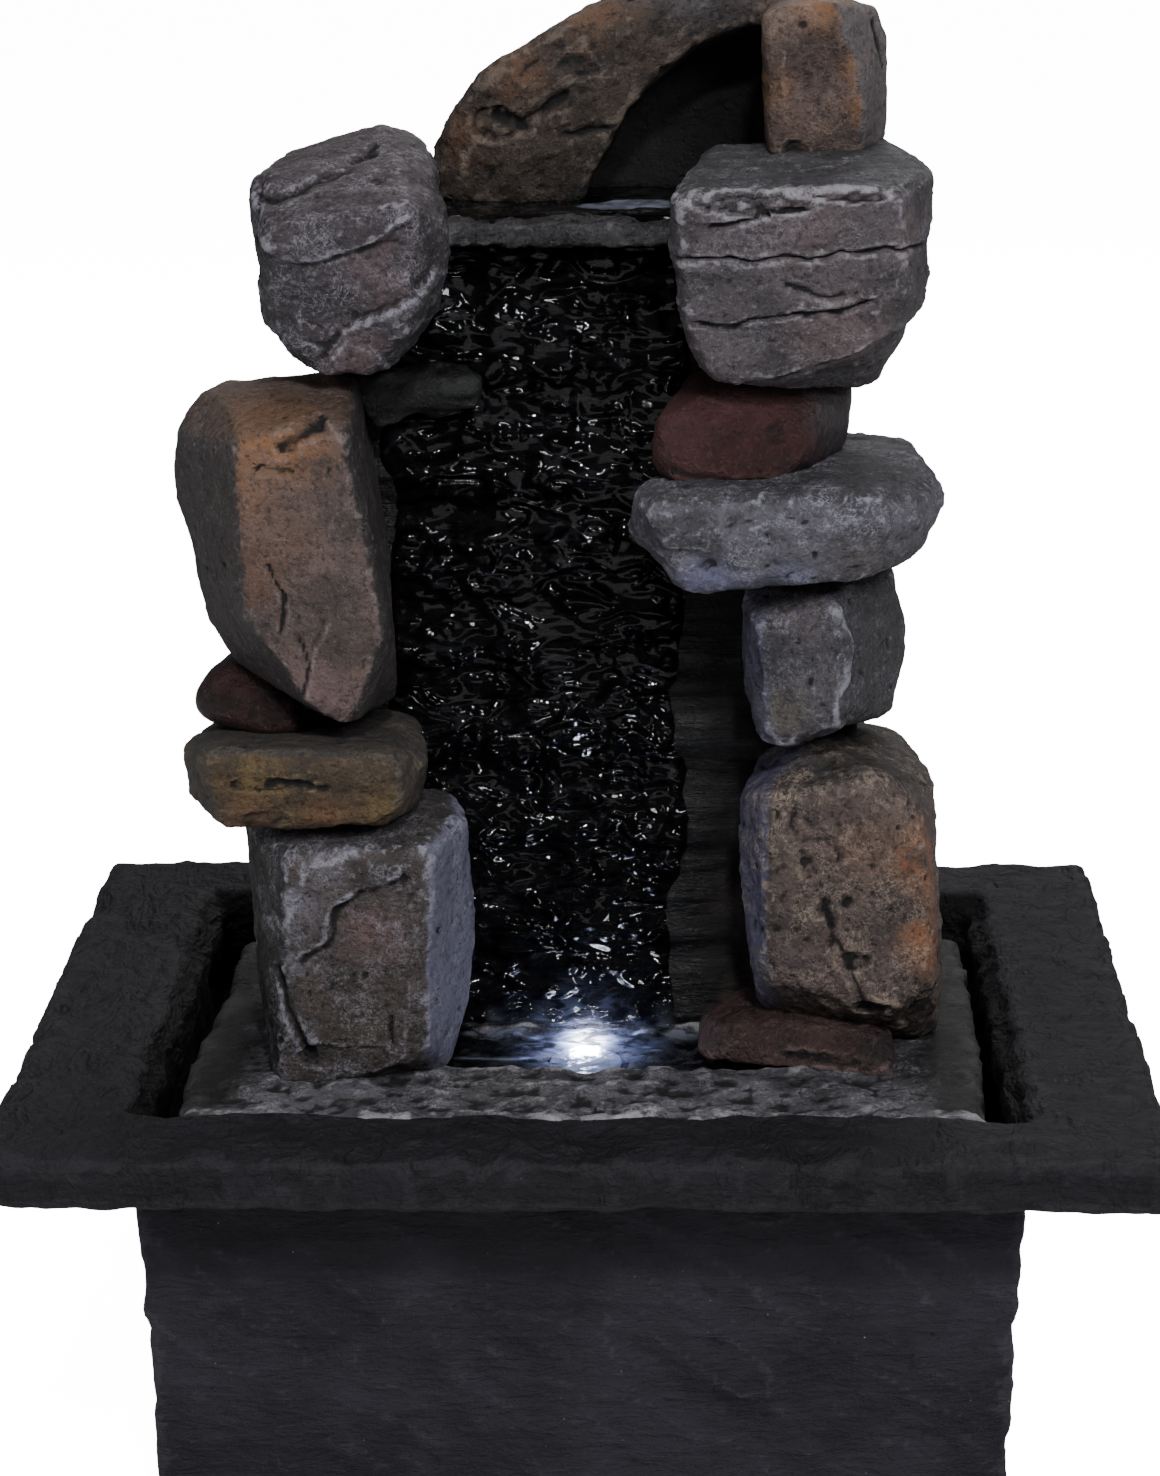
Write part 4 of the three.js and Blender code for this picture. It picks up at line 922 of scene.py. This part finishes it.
def basin():
    c = Carving("basin", 1.35, grow=0, soften=1)
    outer = np.minimum(c.high[0] - np.abs(c.points[:, 0]), c.high[1] - np.abs(c.points[:, 1]))
    rim = step(outer, 30, 27) * step(c.points[:, 2], RIM_FOOT - 3, RIM_FOOT)
    corner = band(outer + RIM_TOP - c.points[:, 2], 0, 3)
    c.push(-0.9 * corner * np.clip(rough_noise(c.points, 16, 201, 4) + 0.2, 0, 1))
    sides = (1 - rim) * step(np.abs(c.normals()[:, 2]), 0.5, 0.3)
    tilted = slanted(c.points, -38)
    c.push(rim * 0.7 * (1 - 2.4 * np.abs(rough_noise(c.points, 12, 202, 4, (1.6, 0.8, 1)))))
    c.push(rim * 0.3 * (0.5 - 2.0 * np.abs(rough_noise(c.points, 9, 204, 3, (0.9, 1.5, 1)))))
    c.push(sides * 0.8 * rough_noise(c.points, 26, 205, 2, (1, 1, 3)))
    c.push(sides * 0.75 * (1 - 2.4 * np.abs(rough_noise(tilted, 13, 206, 4, (2.4, 1, 0.7)))))
    c.finish(slate_paint(), "slate", "base")


def wet_rock_paint():
    """Near black where the water runs, dry and brown at the right, and plain dark stone behind."""
    s = Shader("wet_rock")
    strata = s.noise(5, 5, 0.7, (3.0, 2.0, 0.35), 0.4)
    colour = s.mix(s.ramp(strata, 0.42, 0.7), srgb(9, 9, 10), srgb(22, 21, 22))
    axes = s.node("ShaderNodeSeparateXYZ", Vector=s.mm)
    dry = s.ramp(s.math("ADD", axes.outputs["X"], s.noise(12, 3)), 20, 27)
    dry_colour = s.mix(s.ramp(strata, 0.4, 0.65), srgb(7, 7, 8), srgb(15, 14, 15))
    low_right = s.math("MULTIPLY", s.near((44, 2, RIM_TOP + 8), 34, 0.5), s.ramp(s.noise(6, 4), 0.35, 0.6))
    dry_colour = s.mix(low_right, dry_colour, srgb(44, 36, 33))
    colour = s.mix(dry, colour, dry_colour)
    behind = s.ramp(axes.outputs["Y"], 14, 22)
    back_colour = s.mix(s.ramp(s.noise(11, 5, 0.65), 0.35, 0.65), srgb(38, 35, 36), srgb(72, 66, 66))
    colour = s.mix(behind, colour, back_colour)
    crest = s.math("ADD", s.attribute("edge"), s.ramp(s.noise(2.5, 4, 0.7), 0.2, 0.8, -0.4, 0.4))
    brushed = s.ramp(crest, 0.3, 1.1, 0.0, 0.4)
    brushed = s.math("MULTIPLY", brushed, s.math("ADD", s.math("MULTIPLY", dry, 0.3), behind))
    colour = s.mix(brushed, colour, srgb(124, 119, 117))
    # Painted shade in the hollows.
    colour = s.mix(s.ramp(s.attribute("edge"), -0.2, -1.0, 0.0, 0.8), colour, BLACK)
    gloss = s.ramp(s.math("MAXIMUM", dry, behind), 0.0, 1.0, 0.35, 0.55)
    height = s.math("ADD", strata, s.math("MULTIPLY", s.noise(1.2, 3, 0.7), 0.4))
    s.surface(Base_Color=colour, Roughness=gloss, Specular_IOR_Level=0.3, Normal=s.bump(height, 0.9))
    return s.material


def fall_wall():
    c = Carving("fall_wall", 1.2, grow=0, soften=2)
    weather(c, 37, 0.9, 0.3, 0.1)
    flakes(c, 8, 1.3, 171, (2.6, 1.2, 0.4), layers=4)
    return c.finish(wet_rock_paint(), "wet_rock")


# ---- Water ---------------------------------------------------------------------------------------------

LAMP = (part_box("lamp_lens")[0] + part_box("lamp_lens")[1]) / 2 / MM
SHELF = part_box("spill_lip")[1][2] / MM  # the spill shelf's height
FILM = (-38, 21)  # the falling water, from left to right
POOL = ((-32, -24), (50, 4.5))  # low and high corner, in plan
SHELF_PLAN = ((-30, -5), (36, 31))
WATERLINE = RIM_TOP - 8


def water_paint(name, cover, ripple, glow=0.0, core=0.0):
    """Dark clear water. cover is how much of what is behind it is lost, and ripple its height in mm. glow and
    core are the lamp's light caught in it, far and near."""
    s = Shader(name)
    froth_and_highlight = s.attribute("froth_and_highlight")
    calm = s.ramp(s.noise(13, 2), 0.35, 0.6, 0.35, 1.0)
    height = s.math("MULTIPLY", s.noise(5.5, 0, 0.5, (1.3, 1.3, 0.8), 1.3), calm)
    normal = s.bump(height, ripple)
    # Painted reflection: grey patches where the ripples would mirror the lights.
    painted_reflection = s.ramp(s.noise(6, 3, 0.6, (1.4, 1.4, 0.8), 1.2), 0.6, 0.66, 0.0, 0.8)
    colour = s.mix(painted_reflection, srgb(6, 6, 8), srgb(42, 42, 46))
    # Real foam and painted highlights, both held in this attribute, are mixed in pale.
    colour = s.mix(s.math("MULTIPLY", froth_and_highlight, 0.6), colour, srgb(140, 146, 164))
    fresh = s.node("ShaderNodeFresnel", IOR=1.33, Normal=normal).outputs[0]
    opacity = s.math("ADD", fresh, s.ramp(froth_and_highlight, 0.0, 1.0, cover, 0.85))
    body = {"Base_Color": colour, "Roughness": 0.03, "IOR": 1.45, "Normal": normal}
    if glow:
        halo = s.math("POWER", s.near(tuple(LAMP), 24, 0.98), 3.0)
        heart = s.math("POWER", s.near((LAMP[0], LAMP[1] + 3, WATERLINE), 8, 0.95), 2.0)
        churn = s.ramp(s.noise(3.0, 3, 0.6, (2.0, 1, 0.7), 0.8), 0.42, 0.6, 0.1, 1.0)
        caught = s.math("MULTIPLY", s.math("MULTIPLY", halo, glow), s.ramp(froth_and_highlight, 0.0, 1.0, 1.0, 4.0))
        shine = s.math("ADD", caught, s.math("MULTIPLY", heart, core))
        body["Emission_Color"] = s.mix(heart, srgb(150, 166, 232), srgb(240, 244, 255))
        body["Emission_Strength"] = s.math("MULTIPLY", shine, churn)
    wet = s.node("ShaderNodeBsdfPrincipled", **body)
    clear = s.node("ShaderNodeBsdfTransparent", Color=(0.93, 0.95, 0.97))
    both = s.node("ShaderNodeMixShader", Fac=opacity)
    s.link(clear.outputs[0], both.inputs[1])
    s.link(wet.outputs[0], both.inputs[2])
    s.link(both.outputs[0], s.output.inputs["Surface"])
    return s.material


def sheet_of_water(name, x, y, z, across, froth_and_highlight, material):
    """A smooth surface through a grid of points in mm, given row by row, so many across."""
    points = np.stack([x, y, z], axis=1)
    rows = len(points) // across
    faces = [
        (r * across + k, r * across + k + 1, (r + 1) * across + k + 1, (r + 1) * across + k)
        for r in range(rows - 1)
        for k in range(across - 1)
    ]
    mesh = bpy.data.meshes.new(name)
    mesh.from_pydata([tuple(p) for p in points * MM], [], faces)
    mesh.polygons.foreach_set("use_smooth", np.ones(len(faces), bool))
    mesh.attributes.new("froth_and_highlight", "FLOAT", "POINT").data.foreach_set("value", froth_and_highlight.astype(np.float32))
    mesh.materials.append(material)
    piece = bpy.data.objects.new(name, mesh)
    bpy.context.scene.collection.objects.link(piece)
    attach(piece, "tower")


def grid(low, high, pitch):
    """Grid points between two corners given as (across, along), and how many lie across."""
    across = np.arange(low[0], high[0] + pitch, pitch)
    along = np.arange(low[1], high[1] + pitch, pitch)
    u, v = np.meshgrid(across, along)
    return u.ravel(), v.ravel(), len(across)


def wall_face(rock, x, z, missed=6):
    """How far back the rock's front lies behind each (x, z), and missed where there is no rock."""
    tree = BVHTree.FromObject(rock, bpy.context.evaluated_depsgraph_get())
    y = np.empty(len(x))
    for i in range(len(x)):
        hit = tree.ray_cast(Vector((x[i], -60, z[i])) * MM, Vector((0, 1, 0)))[0]
        y[i] = hit.y / MM if hit else missed
    return y


def falling_water(rock):
    """A film that clings to the wall, thickens over its ledges and breaks up at its edges."""
    x, z, across = grid((FILM[0], WATERLINE - 1), (FILM[1], SHELF - 2), 0.7)
    y = wall_face(rock, x, z).reshape(-1, across)
    smooth = y.copy()
    for _ in range(10):
        smooth[1:-1] = (smooth[:-2] + smooth[2:] + 2 * smooth[1:-1]) / 4
        smooth[:, 1:-1] = (smooth[:, :-2] + smooth[:, 2:] + 2 * smooth[:, 1:-1]) / 4
    y = np.minimum(smooth, y).ravel()
    flat = np.stack([x, np.zeros_like(x), z], axis=1)
    ripple = rough_noise(flat, 6.5, 301, 3, (0.8, 1, 1.6))
    ledge = np.maximum(rough_noise(flat, 9, 302, 2, (2.2, 1, 0.6)), 0)
    y = y - 0.9 - 0.9 * ripple - 1.0 * ledge
    ragged = 3.5 * rough_noise(flat, 10, 303, 3, (1, 1, 2))
    inside = np.minimum(x - FILM[0] + ragged, FILM[1] - x + ragged)
    y = y + 3.0 * step(inside, 4, 0)
    foot = band(z, WATERLINE, 4)
    y = y - 1.6 * foot * (0.5 + rough_noise(flat, 4, 304, 2))
    froth_and_highlight = foot * step(rough_noise(flat, 3, 305, 3), -0.2, 0.7) * 0.8
    paint = water_paint("falling_water", 0.7, 4.2, 0.7)
    sheet_of_water("falling_water", x, y, z, across, froth_and_highlight, paint)


def pool_water():
    """Froth where the water falls in, and a painted highlight along a line at the front."""
    x, y, across = grid(*POOL, 0.7)
    flat = np.stack([x, y, np.zeros_like(x)], axis=1)
    foot = band(y, 2, 5) * step(x, -30, -20) * (1 - step(x, 18, 30))
    z = WATERLINE + 0.3 * rough_noise(flat, 5, 311, 3) + foot * (0.5 + 1.3 * rough_noise(flat, 4, 312, 3))
    froth_and_highlight = foot * step(rough_noise(flat, 2.6, 313, 3), -0.3, 0.5)
    # Painted highlight: a pale line along the front, stored with the foam.
    front = band(y + rough_noise(flat, 8, 314, 2), -12.5, 0.8) * step(x, -30, -22) * (1 - step(x, -4, 4))
    froth_and_highlight = np.maximum(froth_and_highlight, front * step(rough_noise(flat, 5, 315, 2), -0.5, 0.2))
    paint = water_paint("pool_water", 0.35, 2.0, 2.2, 40)
    sheet_of_water("pool_water", x, y, z, across, froth_and_highlight, paint)


def shelf_water():
    """Wells up behind the lip and runs over it."""
    x, y, across = grid(*SHELF_PLAN, 0.8)
    flat = np.stack([x, y, np.zeros_like(x)], axis=1)
    well = band(x, 14, 11) * band(y, 14, 10)
    # Painted reflection: a pale patch where the water wells up, stored with the foam.
    froth_and_highlight = step(band(x, 8, 9) * band(y, 6, 4) + 0.4 * rough_noise(flat, 6, 322, 3), 0.35, 0.5)
    z = SHELF + 0.7 + 0.3 * rough_noise(flat, 6, 321, 3) + 1.2 * well - 1.2 * step(y, -2, -5)
    paint = water_paint("shelf_water", 0.8, 2.2)
    sheet_of_water("shelf_water", x, y, z, across, froth_and_highlight, paint)


# ---- Lamp, pump and the parts inside -------------------------------------------------------------------


def moulded(name, base, rough=0.45, fleck=0.12, metal=0.0):
    """Moulded plastic or rubber: faint mottling, fine texture and a little variation in gloss."""
    s = Shader(name)
    mottle = s.noise(9, 3, 0.55)
    colour = s.mix(s.ramp(mottle, 0.3, 0.7, 0.0, 0.6), base, tuple(v * 0.7 for v in base))
    pale = tuple(min(1, v * 1.8 + 0.02) for v in base)
    colour = s.mix(s.ramp(s.noise(0.7, 2), 0.6, 0.75, 0.0, fleck), colour, pale)
    s.surface(
        Base_Color=colour, Roughness=s.ramp(mottle, 0.3, 0.7, rough - 0.06, rough + 0.08),
        Metallic=metal, Specular_IOR_Level=0.25, Normal=s.bump(s.noise(0.5, 3, 0.6), 0.08, 0.5),
    )
    return s.material


def striped(name, base, dark, pitch, axis, rough=0.35, metal=0.8):
    """Thin bands along one axis, as in laminations or wound wire."""
    s = Shader(name)
    along = s.node("ShaderNodeSeparateXYZ", Vector=s.mm).outputs[axis]
    wave = s.math("SINE", s.math("MULTIPLY", along, 2 * math.pi / pitch))
    line = s.ramp(wave, -0.9, -0.3, 1.0, 0.0)
    patch = s.ramp(s.noise(6, 3), 0.3, 0.7, 0.0, 0.35)
    colour = s.mix(s.math("MAXIMUM", line, patch), base, dark)
    s.surface(Base_Color=colour, Roughness=rough, Metallic=metal, Normal=s.bump(wave, 0.2, 0.6))
    return s.material


def glowing_lens():
    """Clear glass over the lamp's chip, brightest over the middle."""
    s = Shader("lamp_glass")
    wander = s.ramp(s.noise(2.5, 3), 0.2, 0.8, -1.5, 1.5)
    away = s.math("ADD", s.vector("DISTANCE", s.mm, tuple(LAMP)), wander)
    colour = s.mix(s.ramp(away, 3, 8), srgb(246, 249, 255), srgb(176, 190, 240))
    glow = s.ramp(away, 1.8, 4.2, 70.0, 0.3)
    s.surface(Base_Color=colour, Roughness=0.12, Emission_Color=colour, Emission_Strength=glow)
    return s.material


def skin(node, material, bevel):
    """A copy of a CAD node with broken edges and smooth round faces."""
    source = frame["nodes"][node]
    mesh = source.data.copy()
    weld = bmesh.new()
    weld.from_mesh(mesh)
    bmesh.ops.remove_doubles(weld, verts=weld.verts, dist=1e-6)
    bmesh.ops.dissolve_limit(weld, angle_limit=math.radians(1), verts=weld.verts, edges=weld.edges)
    weld.to_mesh(mesh)
    weld.free()
    mesh.materials.clear()
    mesh.materials.append(material)
    mesh.polygons.foreach_set("use_smooth", np.ones(len(mesh.polygons), bool))
    mesh.set_sharp_from_angle(angle=math.radians(35))
    piece = bpy.data.objects.new(node + "_skin", mesh)
    bpy.context.scene.collection.objects.link(piece)
    edges = piece.modifiers.new("edges", "BEVEL")
    edges.width = bevel * MM
    edges.segments = 2
    edges.limit_method = "ANGLE"
    edges.angle_limit = math.radians(35)
    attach(piece, source["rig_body"])
    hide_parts(node)


def inner_parts():
    rubber = moulded("black_rubber", srgb(24, 24, 24), 0.62, 0.2)
    abs_black = moulded("pump_black", srgb(28, 29, 31), 0.5, 0.1)
    vinyl = moulded("clear_vinyl", srgb(190, 200, 202), 0.2, 0.05)
    resin = moulded("potting", srgb(20, 20, 23), 0.16, 0.05)
    ferrite = moulded("ferrite", srgb(44, 44, 48), 0.4, 0.4, 0.3)
    ceramic = moulded("ceramic", srgb(232, 228, 218), 0.22, 0.05)
    blue = moulded("dial_blue", srgb(44, 79, 115), 0.35, 0.1)
    white = moulded("impeller_white", srgb(226, 224, 216), 0.35, 0.08)
    iron = striped("laminations", srgb(120, 122, 126), srgb(52, 50, 50), 0.9, "Y")
    copper = striped("winding", srgb(168, 88, 44), srgb(70, 30, 14), 0.7, "X")
    board = moulded("lamp_board", srgb(228, 230, 224), 0.4, 0.1)
    chip = moulded("emitter", srgb(245, 232, 168), 0.35, 0.1)
    for material, slot, bevel, nodes in (
        (rubber, "rubber", 0.4, "foot_front_left foot_front_right foot_back_left foot_back_right"),
        (rubber, "rubber", 0.4, "cable_grommet"),
        (rubber, "rubber", 0.2, "suction_cup_1 suction_cup_2 suction_cup_3 suction_cup_4"),
        (rubber, "rubber", 0.15, "front_bush rear_bush lamp_seal lamp_lead lamp_plug"),
        (abs_black, "pump_black", 0.3, "pump_housing pump_cover lamp_housing"),
        (resin, "pump_black", 0.2, "potting"),
        (blue, "dial_blue", 0.2, "flow_dial"),
        (vinyl, "clear_vinyl", 0.2, "riser_tube"),
        (white, "white_plastic", 0.1, "impeller"),
        (ferrite, "ferrite", 0.2, "rotor_magnet"),
        (ceramic, "ceramic", 0.1, "rotor_shaft"),
        (iron, "lamination_iron", 0.1, "stator_core"),
        (copper, "copper_winding", 0.4, "coil"),
        (glowing_lens(), "lamp_glass", 0.3, "lamp_lens"),
        (board, "white_plastic", 0.1, "lamp_board"),
        (chip, "emitter_yellow", 0.1, "lamp_emitter"),
    ):
        for node in nodes.split():
            skin(node, material, bevel)


# ---- The scene -----------------------------------------------------------------------------------------

make_camera()
make_lights()
make_floor()
basin()
plinth()
falling_water(fall_wall())
pool_water()
shelf_water()
lip_stone()
ledge_stone()
lower_left_block()
lower_left_slab()
left_pebble()
tall_left_block()
upper_left_block()
lower_right_block()
flat_red_stone()
middle_right_block()
right_slab()
right_red_stone()
upper_right_block()
top_right_block()
arch_stone()
inner_parts()
